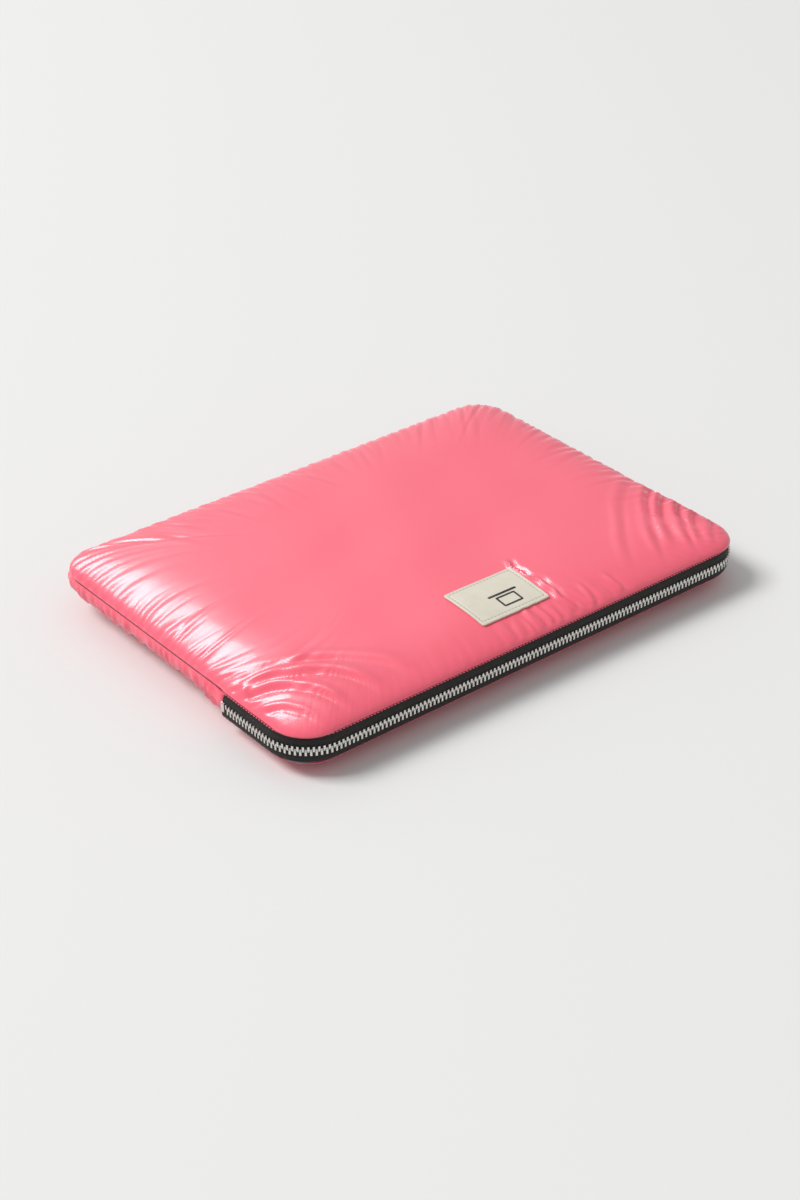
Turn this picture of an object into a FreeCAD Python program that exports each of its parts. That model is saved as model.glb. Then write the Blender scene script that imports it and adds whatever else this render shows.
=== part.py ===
"""Padded laptop sleeve with a metal zip round its mouth, as a parametric model.

Two quilted halves, each a glossy woven panel over wadding over lining, are sewn together round
the back, level with the top edge of the zip. Round the front and the front part of both short
sides the zip lies between them: two tapes, two rows of metal teeth, stops and a slider with a
pull tab. Behind the ends of the zip the halves are sewn shut. Ahead of them the top half lifts like a
jaw, so its panel, wadding and lining are each in a rear and a front piece, with a V gap above
the fold line that stands for the crease.

X runs along the long side, -Y is the zipped front, +Z is up, and the origin is under the
middle of the sleeve, on the surface that it lies on. Sizes are in millimetres.
"""

import FreeCAD, Part
import math
import os

import Sketcher
from FreeCAD import Placement, Rotation, Vector

OUT = "parts"

doc = FreeCAD.newDocument("laptop_sleeve")

# ---------------------------------------------------------------- driving dimensions

SIZES = {
    "long_side": 350,  # outside of the zip band, left to right
    "short_side": 251,  # outside of the zip band, front to back
    "thickness": 38,  # flat underside to flat top
    "corner": 28,  # plan radius of the corners at the zip band
    "band_flat": 6,  # half height of the upright middle of the zip band
    "seam_rise": 9.5,  # panel edge above or below the middle of the zip
    "seam_inset": 2.5,  # panel edge inside the face of the band
    "rear_seam": 8,  # height of the back seam above mid height
    "shoulder": 48,  # width over which a panel climbs from its edge to the flat
    "corner_shrink": 0.35,  # loss of corner radius per millimetre of inset
    "skin": 0.8,  # shell fabric as modelled
    "lining_gauge": 0.6,  # lining as modelled
    "pocket_depth": 16,  # free height between the two linings
    "wall": 10,  # padded wall round the back of the pocket
    "pocket_corner": 12,  # plan radius of the pocket
    "lining_edge": 3.4,  # lining's edge inside the face of the band, round the mouth
    "pad_edge": 9,  # wadding's edge inside the face of the band, round the mouth
    "zip_end": 54,  # how far ahead of the middle the zip ends on both short sides
    "fold_half": 15.5,  # half of the V above the fold, degrees
    "fold_gap": 0.3,  # free space at the foot of the V
    "tape_gauge": 0.7,  # zip tape
    "tape_edge": 0.9,  # woven edge of each tape from the middle of the zip
    "tape_bend": 3.4,  # outer radius where a tape turns in under its panel
    "tape_hem": 9,  # depth of the hidden leg of a tape, from the face of the band
    "binding_gauge": 0.8,  # bias binding over the raw edges
    "binding_near": 3.5,  # binding's outer edge from the face of the band
    "binding_far": 9.5,  # binding's inner edge from the face of the band
    "rear_binding": 7,  # height of the binding under the back seam
    "tooth_pitch": 2.9,  # from tooth to tooth on one tape
    "tooth_gauge": 1.25,  # tooth, along the zip
    "tooth_leg": 2.9,  # tips of the legs from the middle of the zip
    "tooth_head": 0.9,  # how far a head passes the middle of the zip
    "tooth_proud": 1.1,  # leg above the face of the tape, both faces
    "stop_length": 3,  # bottom stop, along the zip
    "top_stop_length": 2,  # each top stop, along the zip
    "slider_length": 12.5,
    "slider_half": 4.6,  # half width of the slider's plates
    "slider_plate": 1.1,
    "slider_play": 0.25,  # plate to tooth
    "slider_lip": 1.2,  # lip at each side of a plate
    "slider_lip_depth": 0.9,
    "slider_post": 0.7,  # half width of the post that joins the plates
    "slider_offset": 10.3,  # centre of the slider ahead of the zip's end, when closed
    "bridge_half": 1.1,  # half width of the arch over the puller's bar
    "bridge_rise": 2.45,  # arch above the outer plate
    "bridge_span": 7.2,  # arch along the slider
    "bridge_leg": 1.2,
    "tab_length": 24,
    "tab_width": 7,
    "tab_gauge": 1.2,
    "bar_rise": 0.9,  # axis of the puller's bar above the outer plate
    "bar_radius": 0.7,
    "eye_length": 4.3,  # opening in the puller, from the axis of its bar
    "eye_half": 1.5,  # half width of that opening
    "eye_wall": 1.2,  # strip of the puller at each side of that opening
    "small_round": 1,  # rounded corners of the slider and the label
    "tab_round": 2,  # rounded corners of the puller's tail
    "stop_gap": 1.4,  # from the zip's end to the top stops
    "cloth_gap": 0.05,  # free space between cloth layers that only lie on each other
    "label_length": 52,
    "label_width": 36,
    "label_gauge": 1.3,
    "label_centre": 88,  # label's middle ahead of the sleeve's middle
    "label_tilt": 3.5,  # degrees down towards the front
    "stitch_inset": 2.2,  # stitches inside the label's edge
    "stitch_pitch": 2.6,
    "stitch_length": 1.7,
    "stitch_gauge": 0.45,
}
SHOULDER_STEPS = 6  # facets of a panel's shoulder, from edge to flat
REACH = 260  # half size of the trimming blocks, larger than the sleeve

sheet = doc.addObject("Spreadsheet::Sheet", "sizes")
for row, (name, value) in enumerate(SIZES.items(), start=1):
    sheet.set(f"A{row}", name)
    sheet.set(f"B{row}", str(value))
    sheet.setAlias(f"B{row}", name)
doc.recompute()


def size(name):
    """A driving dimension as a number, for the few shapes that code has to place."""
    return float(sheet.get(name))


def cells(expression):
    """The expression with each alias led by the sheet's name."""
    words = sorted(SIZES, key=len, reverse=True)
    marked = expression
    for number, word in enumerate(words):
        marked = marked.replace(word, f"@{number}@")
    for number, word in enumerate(words):
        marked = marked.replace(f"@{number}@", f"sizes.{word}")
    return marked


def bind(thing, prop, expression):
    thing.setExpression(prop, cells(expression))


MIDDLE = "thickness / 2"
HALF_X = "long_side / 2"
HALF_Y = "short_side / 2"
POCKET_HALF = "pocket_depth / 2"

# ---------------------------------------------------------------- drawing helpers


def plane_of(body, role):
    return next(f for f in body.Origin.OriginFeatures if f.Role == role)


def sketch_on(body, name, role, lift=None):
    """An empty sketch on one of the body's own origin planes, lifted off it by an expression."""
    sketch = body.newObject("Sketcher::SketchObject", name)
    sketch.AttachmentSupport = [(plane_of(body, role), "")]
    sketch.MapMode = "FlatFace"
    if lift is not None:
        bind(sketch, "AttachmentOffset.Base.z", lift)
    return sketch


def at(sketch, index, point, x, y):
    """Ties one point of the sketch to X and Y, both expressions, measured from its origin."""
    for kind, expression in (("DistanceX", x), ("DistanceY", y)):
        number = sketch.addConstraint(Sketcher.Constraint(kind, -1, 1, index, point, 1.0))
        bind(sketch, f"Constraints[{number}]", expression)


def outline(sketch, points):
    """A closed polygon through points given as pairs of expressions."""
    count = len(points)
    for n in range(count):
        a = 2 * math.pi * n / count
        b = 2 * math.pi * (n + 1) / count
        start = Vector(math.cos(a), math.sin(a), 0)
        end = Vector(math.cos(b), math.sin(b), 0)
        sketch.addGeometry(Part.LineSegment(start, end))
    for n in range(count):
        sketch.addConstraint(Sketcher.Constraint("Coincident", n, 2, (n + 1) % count, 1))
    for n, (x, y) in enumerate(points):
        at(sketch, n, 1, x, y)


def rounded_rectangle(sketch, half_x, half_y, radius):
    """Four lines and four tangent arcs, centred on the sketch's origin."""
    a, b, r = 100.0, 80.0, 10.0
    sides = [
        (Vector(-a + r, -b), Vector(a - r, -b)),
        (Vector(a, -b + r), Vector(a, b - r)),
        (Vector(a - r, b), Vector(-a + r, b)),
        (Vector(-a, b - r), Vector(-a, -b + r)),
    ]
    for start, end in sides:
        sketch.addGeometry(Part.LineSegment(start, end))
    centres = [Vector(a - r, -b + r), Vector(a - r, b - r), Vector(-a + r, b - r), Vector(-a + r, -b + r)]
    for n, centre in enumerate(centres):
        circle = Part.Circle(centre, Vector(0, 0, 1), r)
        first = (n - 1) * math.pi / 2
        sketch.addGeometry(Part.ArcOfCircle(circle, first, first + math.pi / 2))
    for n in range(4):
        sketch.addConstraint(Sketcher.Constraint("Tangent", n, 2, 4 + n, 1))
        sketch.addConstraint(Sketcher.Constraint("Tangent", 4 + n, 2, (n + 1) % 4, 1))
    for n in (0, 2):
        sketch.addConstraint(Sketcher.Constraint("Horizontal", n))
        sketch.addConstraint(Sketcher.Constraint("Vertical", n + 1))
    for n in (5, 6, 7):
        sketch.addConstraint(Sketcher.Constraint("Equal", 4, n))
    number = sketch.addConstraint(Sketcher.Constraint("Radius", 4, r))
    bind(sketch, f"Constraints[{number}]", radius)
    for kind, line, way, expression in (
        ("DistanceY", 0, 1, half_y),
        ("DistanceX", 1, -1, half_x),
        ("DistanceY", 2, -1, half_y),
        ("DistanceX", 3, 1, half_x),
    ):
        pair = (line, 1, -1, 1) if way > 0 else (-1, 1, line, 1)
        number = sketch.addConstraint(Sketcher.Constraint(kind, *pair, 50.0))
        bind(sketch, f"Constraints[{number}]", expression)


def body_at(name, z=None, y=None, x=None):
    body = doc.addObject("PartDesign::Body", name)
    for axis, expression in (("x", x), ("y", y), ("z", z)):
        if expression is not None:
            bind(body, f"Placement.Base.{axis}", expression)
    return body


def pad(body, sketch, length, both_ways=False, backwards=False):
    feature = body.newObject("PartDesign::Pad", sketch.Name + "_pad")
    feature.Profile = sketch
    bind(feature, "Length", length)
    if both_ways:
        feature.SideType = "Symmetric"
    feature.Reversed = backwards
    sketch.Visibility = False
    return feature


def rounded_plate(name, half_x, half_y, radius, low, height):
    """A flat plate of rounded rectangular outline, from low above mid height and height thick."""
    body = body_at(name, f"{MIDDLE} + {low}")
    sketch = sketch_on(body, name + "_outline", "XY_Plane")
    rounded_rectangle(sketch, half_x, half_y, radius)
    pad(body, sketch, height)
    return body


def boolean(kind, name, base, tool):
    result = doc.addObject(f"Part::{kind}", name)
    result.Base = base
    result.Tool = tool
    return result


def mirrored(name, source):
    """The source reflected through mid height, for the lower half."""
    copy = doc.addObject("Part::Mirroring", name)
    copy.Source = source
    copy.Normal = Vector(0, 0, 1)
    bind(copy, "Base.z", MIDDLE)
    return copy


# ---------------------------------------------------------------- the quilted half, as solids


def half_pillow(name, inset):
    """The upper half of the sleeve, pulled in by inset: upright band, then an elliptical shoulder."""
    body = body_at(name, MIDDLE)
    stations = [("0", "0"), ("0", f"band_flat - {inset}")]
    for step in range(SHOULDER_STEPS + 1):
        turn = f"{90 * step / SHOULDER_STEPS:.3f} deg"
        across = f"seam_inset + (shoulder - seam_inset) * (1 - cos({turn}))"
        up = f"seam_rise + (thickness / 2 - seam_rise) * sin({turn}) - {inset}"
        stations.append((across, up))
    sections = []
    for number, (across, up) in enumerate(stations):
        sketch = sketch_on(body, f"{name}_{number}", "XY_Plane", up)
        rounded_rectangle(
            sketch,
            f"{HALF_X} - {inset} - ({across})",
            f"{HALF_Y} - {inset} - ({across})",
            f"corner - {inset} - corner_shrink * ({across})",
        )
        sections.append(sketch)
    doc.recompute()
    loft = body.newObject("PartDesign::AdditiveLoft", name + "_loft")
    loft.Profile = sections[0]
    loft.Sections = sections[1:]
    loft.Ruled = True
    return body


outer_half = half_pillow("outer_half", "0")
padding_half = half_pillow("padding_half", "skin")

# ---------------------------------------------------------------- trimming blocks


def fold_block(name, low, ahead):
    """Everything ahead of or behind the fold's V, from low above mid height upwards.

    A wedge's own Y becomes up and its own Z becomes forwards, once it is turned onto its back.
    """
    wedge = doc.addObject("Part::Wedge", name)
    wedge.Placement = Placement(Vector(0, 0, 0), Rotation(Vector(1, 0, 0), 90))
    bind(wedge, "Placement.Base.z", MIDDLE)
    for prop, value in (("Xmin", -REACH), ("X2min", -REACH), ("Xmax", REACH), ("X2max", REACH)):
        setattr(wedge, prop, value)
    bind(wedge, "Ymin", low)
    bind(wedge, "Ymax", "thickness")
    near, far = ("Zmin", "Z2min") if ahead else ("Zmax", "Z2max")
    sign = "+" if ahead else "-"
    bind(wedge, near, f"zip_end {sign} fold_gap {sign} ({low}) * tan(fold_half * 1 deg)")
    bind(wedge, far, f"zip_end {sign} fold_gap {sign} thickness * tan(fold_half * 1 deg)")
    for prop in ("Zmax", "Z2max") if ahead else ("Zmin", "Z2min"):
        setattr(wedge, prop, REACH if ahead else -REACH)
    return wedge


def plain_block(name, low, high, front, back):
    """A block across the whole sleeve, from front to back and low to high, about mid height."""
    block = doc.addObject("Part::Box", name)
    block.Length = 2 * REACH
    block.Placement.Base.x = -REACH
    bind(block, "Width", f"({back}) - ({front})")
    bind(block, "Height", f"({high}) - ({low})")
    bind(block, "Placement.Base.y", front)
    bind(block, "Placement.Base.z", f"{MIDDLE} + {low}")
    return block


jaw_block = fold_block("jaw_block", "0", ahead=True)
jaw_panel_block = fold_block("jaw_panel_block", "seam_rise", ahead=True)
fixed_block = fold_block("fixed_block", "0", ahead=False)
above_seam_block = fold_block("above_seam_block", "rear_seam", ahead=False)
mouth_block = plain_block("mouth_block", "-seam_rise", "0", f"-{REACH}", "-zip_end")
behind_block = plain_block("behind_block", "-thickness", "0", "-zip_end", f"{REACH}")
ahead_block = plain_block("ahead_block", "-thickness", "0", f"-{REACH}", "-zip_end")


def parted_at_seam(layer, upper_part):
    """The rear of an upper part: what lies above the back seam, and the rim that the lower half has."""
    rear = boolean("Common", f"{layer}_behind_fold", upper_part, fixed_block)
    above = boolean("Common", f"top_{layer}_rear", upper_part, above_seam_block)
    rim = boolean("Cut", f"{layer}_rim", rear, above)
    return above, rim


# ---------------------------------------------------------------- shell panels
# Coated ripstop, cut as two panels. The lower one is a single dish. Its rim, and that of the
# jaw, stop short of mid height round the mouth, where the zip band fills the gap.

upper_shell = boolean("Cut", "upper_shell", outer_half, padding_half)
lower_shell = mirrored("lower_shell", upper_shell)

top_panel_rear, panel_rim = parted_at_seam("panel", upper_shell)
top_panel_front = boolean("Common", "top_panel_front", upper_shell, jaw_panel_block)
bottom_dish = boolean("Cut", "bottom_dish", lower_shell, mouth_block)
bottom_panel = boolean("Fuse", "bottom_panel", bottom_dish, panel_rim)

# ---------------------------------------------------------------- pocket and its lining
# The lower lining is a tray with padded walls behind the zip's ends, and a flat sheet ahead of
# them. The upper lining is the tray's lid.

pocket_space = rounded_plate(
    "pocket_space",
    f"{HALF_X} - wall - lining_gauge",
    f"{HALF_Y} - wall - lining_gauge",
    "pocket_corner - lining_gauge",
    "0",
    POCKET_HALF,
)
tray_space = rounded_plate(
    "tray_space",
    f"{HALF_X} - wall",
    f"{HALF_Y} - wall",
    "pocket_corner",
    "0",
    f"{POCKET_HALF} + lining_gauge",
)
mouth_sheet = rounded_plate(
    "mouth_sheet",
    f"{HALF_X} - lining_edge",
    f"{HALF_Y} - lining_edge",
    "corner - lining_edge",
    POCKET_HALF,
    "lining_gauge",
)
upper_tray = boolean("Cut", "upper_tray", tray_space, pocket_space)
top_lining_rear, lining_rim = parted_at_seam("lining", upper_tray)
top_lining_front = boolean("Common", "top_lining_front", mouth_sheet, jaw_block)

lower_tray = mirrored("lower_tray", upper_tray)
lower_sheet = mirrored("lower_sheet", mouth_sheet)
bottom_lining_rear = boolean("Common", "bottom_lining_rear", lower_tray, behind_block)
bottom_lining_front = boolean("Common", "bottom_lining_front", lower_sheet, ahead_block)
bottom_lining_floor = boolean("Fuse", "bottom_lining_floor", bottom_lining_rear, bottom_lining_front)
bottom_lining = boolean("Fuse", "bottom_lining", bottom_lining_floor, lining_rim)

# ---------------------------------------------------------------- wadding
# Polyester wadding fills each half between shell and lining. Round the mouth it stops short of
# the band, where the hems lie.

pad_limit = rounded_plate(
    "pad_limit",
    f"{HALF_X} - pad_edge",
    f"{HALF_Y} - pad_edge",
    "corner - pad_edge",
    f"({POCKET_HALF} + lining_gauge)",
    "thickness / 2",
)
upper_pad = boolean("Cut", "upper_pad", padding_half, tray_space)
top_wadding_rear, wadding_rim = parted_at_seam("wadding", upper_pad)
jaw_pad = boolean("Common", "jaw_pad", padding_half, pad_limit)
top_wadding_front = boolean("Common", "top_wadding_front", jaw_pad, jaw_block)

lower_pad = mirrored("lower_pad", upper_pad)
lower_mouth_pad = mirrored("lower_mouth_pad", jaw_pad)
bottom_wadding_rear = boolean("Common", "bottom_wadding_rear", lower_pad, behind_block)
bottom_wadding_front = boolean("Common", "bottom_wadding_front", lower_mouth_pad, ahead_block)
bottom_pad = boolean("Fuse", "bottom_pad", bottom_wadding_rear, bottom_wadding_front)
bottom_wadding = boolean("Fuse", "bottom_wadding", bottom_pad, wadding_rim)

# ---------------------------------------------------------------- zip tapes and bindings


def mouth_path(body, name, inset):
    """The line round the mouth, inset from the face of the band: side, corner, front, corner, side."""
    sketch = sketch_on(body, name, "XY_Plane")
    a, b, r, e = 100.0, 80.0, 10.0, 30.0
    sketch.addGeometry(Part.LineSegment(Vector(-a, -e), Vector(-a, -b + r)))
    circle = Part.Circle(Vector(-a + r, -b + r), Vector(0, 0, 1), r)
    sketch.addGeometry(Part.ArcOfCircle(circle, math.pi, 1.5 * math.pi))
    sketch.addGeometry(Part.LineSegment(Vector(-a + r, -b), Vector(a - r, -b)))
    circle = Part.Circle(Vector(a - r, -b + r), Vector(0, 0, 1), r)
    sketch.addGeometry(Part.ArcOfCircle(circle, 1.5 * math.pi, 2 * math.pi))
    sketch.addGeometry(Part.LineSegment(Vector(a, -b + r), Vector(a, -e)))
    for first in range(4):
        sketch.addConstraint(Sketcher.Constraint("Tangent", first, 2, first + 1, 1))
    for line, kind in ((0, "Vertical"), (2, "Horizontal"), (4, "Vertical")):
        sketch.addConstraint(Sketcher.Constraint(kind, line))
    sketch.addConstraint(Sketcher.Constraint("Equal", 1, 3))
    number = sketch.addConstraint(Sketcher.Constraint("Radius", 1, r))
    bind(sketch, f"Constraints[{number}]", f"corner - ({inset})")
    at(sketch, 0, 1, f"-({HALF_X} - ({inset}))", "-zip_end")
    at(sketch, 4, 2, f"{HALF_X} - ({inset})", "-zip_end")
    number = sketch.addConstraint(Sketcher.Constraint("DistanceY", 2, 1, -1, 1, b))
    bind(sketch, f"Constraints[{number}]", f"{HALF_Y} - ({inset})")
    return sketch


def swept_round_mouth(name, draw):
    """A strip whose section is drawn at the left end of the zip and carried round the mouth."""
    body = body_at(name, MIDDLE)
    path = mouth_path(body, name + "_path", "0")
    section = sketch_on(body, name + "_section", "XZ_Plane", "zip_end")
    draw(section)
    doc.recompute()
    pipe = body.newObject("PartDesign::AdditivePipe", name + "_pipe")
    pipe.Profile = section
    pipe.Spine = (path, [f"Edge{n}" for n in range(1, 6)])
    pipe.Mode = "Standard"
    return body


def draw_tape(section):
    """A tape's section: an upright face beside the teeth, a bend, and a leg hidden under the panel."""
    face = f"-{HALF_X}"

    def round_bend(radius, turns):
        return [
            (
                f"{face} + tape_bend - ({radius}) * cos({turn} deg)",
                f"band_flat + ({radius}) * sin({turn} deg)",
            )
            for turn in turns
        ]

    outside = round_bend("tape_bend", (0, 30, 60, 90))
    inside = round_bend("tape_bend - tape_gauge", (90, 60, 30, 0))
    hem_top, hem_foot = "band_flat + tape_bend", "band_flat + tape_bend - tape_gauge"
    outline(
        section,
        [(face, "tape_edge")]
        + outside
        + [(f"{face} + tape_hem", hem_top), (f"{face} + tape_hem", hem_foot)]
        + inside
        + [(f"{face} + tape_gauge", "tape_edge")],
    )


def draw_binding(section):
    outer, inner = f"-{HALF_X} + binding_near", f"-{HALF_X} + binding_far"
    low, high = f"{POCKET_HALF} - binding_gauge - cloth_gap", f"{POCKET_HALF} - cloth_gap"
    outline(section, [(outer, low), (inner, low), (inner, high), (outer, high)])


tape_strip = swept_round_mouth("tape_strip", draw_tape)
upper_zip_tape = boolean("Common", "upper_zip_tape", tape_strip, jaw_block)
lower_zip_tape = mirrored("lower_zip_tape", tape_strip)

binding_strip = swept_round_mouth("binding_strip", draw_binding)
upper_mouth_binding = boolean("Common", "upper_mouth_binding", binding_strip, jaw_block)
lower_mouth_binding = mirrored("lower_mouth_binding", binding_strip)

# The back seam's raw edges are bound too. That strip lies flat on the lining's wall.
STRIP_INSET = "wall + lining_gauge + cloth_gap"


def strip_plate(name, inset):
    """A plate as high as the binding, its edge inset from the face of the band."""
    return rounded_plate(
        name,
        f"{HALF_X} - ({inset})",
        f"{HALF_Y} - ({inset})",
        f"pocket_corner + wall - ({inset})",
        "(rear_seam - rear_binding - cloth_gap)",
        "rear_binding",
    )


strip_outside = strip_plate("strip_outside", STRIP_INSET)
strip_inside = strip_plate("strip_inside", f"{STRIP_INSET} + binding_gauge")
strip_ring = boolean("Cut", "strip_ring", strip_outside, strip_inside)
strip_block = plain_block("strip_block", "-thickness", "thickness", "-zip_end + seam_rise", f"{REACH}")
rear_seam_binding = boolean("Common", "rear_seam_binding", strip_ring, strip_block)

# ---------------------------------------------------------------- teeth and stops


def zip_hardware(name, points, length):
    """A small stamping, drawn looking along the zip with the tape's face at X 0, made both ways."""
    body = body_at(name)
    sketch = sketch_on(body, name + "_section", "XZ_Plane")
    outline(sketch, points)
    pad(body, sketch, length, both_ways=True)
    return body


CLAMP = [  # two legs pinched on a tape, from the outer leg's tip round to the inner one's
    ("0", "tooth_leg"),
    ("tooth_proud", "tooth_leg"),
]
CLAMP_BACK = [
    ("-tape_gauge - tooth_proud", "tooth_leg"),
    ("-tape_gauge", "tooth_leg"),
    ("-tape_gauge", "tape_edge"),
    ("0", "tape_edge"),
]
tooth = zip_hardware(
    "tooth",
    CLAMP
    + [
        ("tooth_proud", "tape_edge / 2"),
        ("tooth_proud / 2", "-tooth_head"),
        ("-tape_gauge - tooth_proud / 2", "-tooth_head"),
        ("-tape_gauge - tooth_proud", "tape_edge / 2"),
    ]
    + CLAMP_BACK,
    "tooth_gauge",
)
top_stop = zip_hardware(
    "top_stop",
    CLAMP
    + [("tooth_proud", "tape_edge / 2"), ("-tape_gauge - tooth_proud", "tape_edge / 2")]
    + CLAMP_BACK,
    "top_stop_length",
)
bottom_clamp = zip_hardware(
    "bottom_clamp",
    CLAMP
    + [
        ("tooth_proud", "-tooth_leg"),
        ("0", "-tooth_leg"),
        ("0", "-tape_edge"),
        ("-tape_gauge", "-tape_edge"),
        ("-tape_gauge", "-tooth_leg"),
        ("-tape_gauge - tooth_proud", "-tooth_leg"),
    ]
    + CLAMP_BACK,
    "stop_length",
)
doc.recompute()


def along_mouth(distance):
    """The placement of a stamping that far along the zip from its left end, facing outwards."""
    half_x, half_y, r = size("long_side") / 2, size("short_side") / 2, size("corner")
    side = half_y - r - size("zip_end")
    bend = r * math.pi / 2
    front = 2 * (half_x - r)
    left, right = Vector(-half_x + r, -half_y + r, 0), Vector(half_x - r, -half_y + r, 0)
    if distance < side:
        point, turn = Vector(-half_x, -size("zip_end") - distance, 0), 180.0
    elif distance < side + bend:
        turn = 180 + math.degrees((distance - side) / r)
        point = left + r * Vector(math.cos(math.radians(turn)), math.sin(math.radians(turn)), 0)
    elif distance < side + bend + front:
        point, turn = Vector(left.x + distance - side - bend, -half_y, 0), 270.0
    elif distance < side + 2 * bend + front:
        turn = 270 + math.degrees((distance - side - bend - front) / r)
        point = right + r * Vector(math.cos(math.radians(turn)), math.sin(math.radians(turn)), 0)
    else:
        point = Vector(half_x, -half_y + r + distance - side - 2 * bend - front, 0)
        turn = 360.0
    point.z = size("thickness") / 2
    return Placement(point, Rotation(Vector(0, 0, 1), turn))


ZIP_LENGTH = (
    2 * (size("short_side") / 2 - size("corner") - size("zip_end"))
    + math.pi * size("corner")
    + 2 * (size("long_side") / 2 - size("corner"))
)
UPSIDE_DOWN = Placement(Vector(0, 0, 0), Rotation(Vector(1, 0, 0), 180))


def row_of(name, stamping, places, lower):
    """One node that holds a copy of the stamping at each place along the zip."""
    copies = []
    for distance in places:
        copy = stamping.Shape.copy()
        flip = UPSIDE_DOWN if lower else Placement()
        copy.Placement = along_mouth(distance).multiply(flip)
        copies.append(copy)
    row = doc.addObject("Part::Feature", name)
    row.Shape = Part.makeCompound(copies)
    return row


first_tooth = size("stop_length") + 2 * size("tooth_gauge")
last_tooth = ZIP_LENGTH - size("slider_offset") - size("slider_length") / 2 - 1.5 * size("tooth_gauge")
pitch = size("tooth_pitch")
tooth_count = int((last_tooth - pitch / 2 - first_tooth) / pitch)
upper_places = [first_tooth + pitch * n for n in range(tooth_count)]
lower_places = [place + pitch / 2 for place in upper_places]
upper_zip_teeth = row_of("upper_zip_teeth", tooth, upper_places, lower=False)
lower_zip_teeth = row_of("lower_zip_teeth", tooth, lower_places, lower=True)

bottom_stop_place = 2 * size("fold_gap") + size("stop_length") / 2
bottom_stop = row_of("bottom_stop", bottom_clamp, [bottom_stop_place], lower=False)
top_stop_place = ZIP_LENGTH - size("top_stop_length") / 2 - size("stop_gap")
upper_top_stop = row_of("upper_top_stop", top_stop, [top_stop_place], lower=False)
lower_top_stop = row_of("lower_top_stop", top_stop, [top_stop_place], lower=True)

# ---------------------------------------------------------------- slider and pull tab
# The slider straddles the tapes on the right side. X is outwards from the face of the tape and
# Y is along the zip, nose to the back.

SLIDER_Y = "-(zip_end + slider_offset)"
OUTER_PLATE = "(tooth_proud + slider_play)"
INNER_PLATE = "(-tape_gauge - tooth_proud - slider_play)"


def slider_piece(name):
    return body_at(name, MIDDLE, SLIDER_Y, HALF_X)


slider_body = slider_piece("slider_body")
channel = sketch_on(slider_body, "slider_channel", "XZ_Plane")
outer_face, inner_face = f"{OUTER_PLATE} + slider_plate", f"{INNER_PLATE} - slider_plate"
outer_lip, inner_lip = f"{OUTER_PLATE} - slider_lip_depth", f"{INNER_PLATE} + slider_lip_depth"
lip_start = "slider_half - slider_lip"
channel_section = [
    (outer_lip, lip_start),
    (outer_lip, "slider_half"),
    (outer_face, "slider_half"),
    (outer_face, "-slider_half"),
    (outer_lip, "-slider_half"),
    (outer_lip, f"-({lip_start})"),
    (OUTER_PLATE, f"-({lip_start})"),
    (OUTER_PLATE, "-slider_post"),
    (INNER_PLATE, "-slider_post"),
    (INNER_PLATE, f"-({lip_start})"),
    (inner_lip, f"-({lip_start})"),
    (inner_lip, "-slider_half"),
    (inner_face, "-slider_half"),
    (inner_face, "slider_half"),
    (inner_lip, "slider_half"),
    (inner_lip, lip_start),
    (INNER_PLATE, lip_start),
    (INNER_PLATE, "slider_post"),
    (OUTER_PLATE, "slider_post"),
    (OUTER_PLATE, lip_start),
]
outline(channel, channel_section)
pad(slider_body, channel, "slider_length", both_ways=True)
throat = sketch_on(slider_body, "slider_throat", "XZ_Plane")
outline(
    throat,
    [
        (INNER_PLATE, "-2 * slider_post"),
        (OUTER_PLATE, "-2 * slider_post"),
        (OUTER_PLATE, "2 * slider_post"),
        (INNER_PLATE, "2 * slider_post"),
    ],
)
doc.recompute()
cut = slider_body.newObject("PartDesign::Pocket", "slider_throat_cut")
cut.Profile = throat
bind(cut, "Length", "slider_length")
cut.Reversed = True
throat.Visibility = False
doc.recompute()
corners = slider_body.newObject("PartDesign::Fillet", "slider_corners")
upright = [
    f"Edge{n}"
    for n, e in enumerate(cut.Shape.Edges, start=1)
    if abs(e.tangentAt(e.FirstParameter).x) > 0.99
    and abs(abs(e.CenterOfMass.z) - size("slider_half")) < 0.01
]
corners.Base = (cut, upright)
bind(corners, "Radius", "small_round")

slider_bridge = slider_piece("slider_bridge")
arch = sketch_on(slider_bridge, "bridge_arch", "XY_Plane")
foot = f"{OUTER_PLATE} + slider_plate"
crown = f"{foot} + bridge_rise"
outline(
    arch,
    [
        (foot, "-bridge_span / 2"),
        (f"{crown} - bridge_leg", "-bridge_span / 2"),
        (crown, "-bridge_span / 2 + bridge_leg"),
        (crown, "bridge_span / 2 - bridge_leg"),
        (f"{crown} - bridge_leg", "bridge_span / 2"),
        (foot, "bridge_span / 2"),
        (foot, "bridge_span / 2 - bridge_leg"),
        (f"{foot} + 2 * bar_rise", "bridge_span / 2 - bridge_leg"),
        (f"{foot} + 2 * bar_rise", "-bridge_span / 2 + bridge_leg"),
        (foot, "-bridge_span / 2 + bridge_leg"),
    ],
)
pad(slider_bridge, arch, "2 * bridge_half", both_ways=True)

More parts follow.
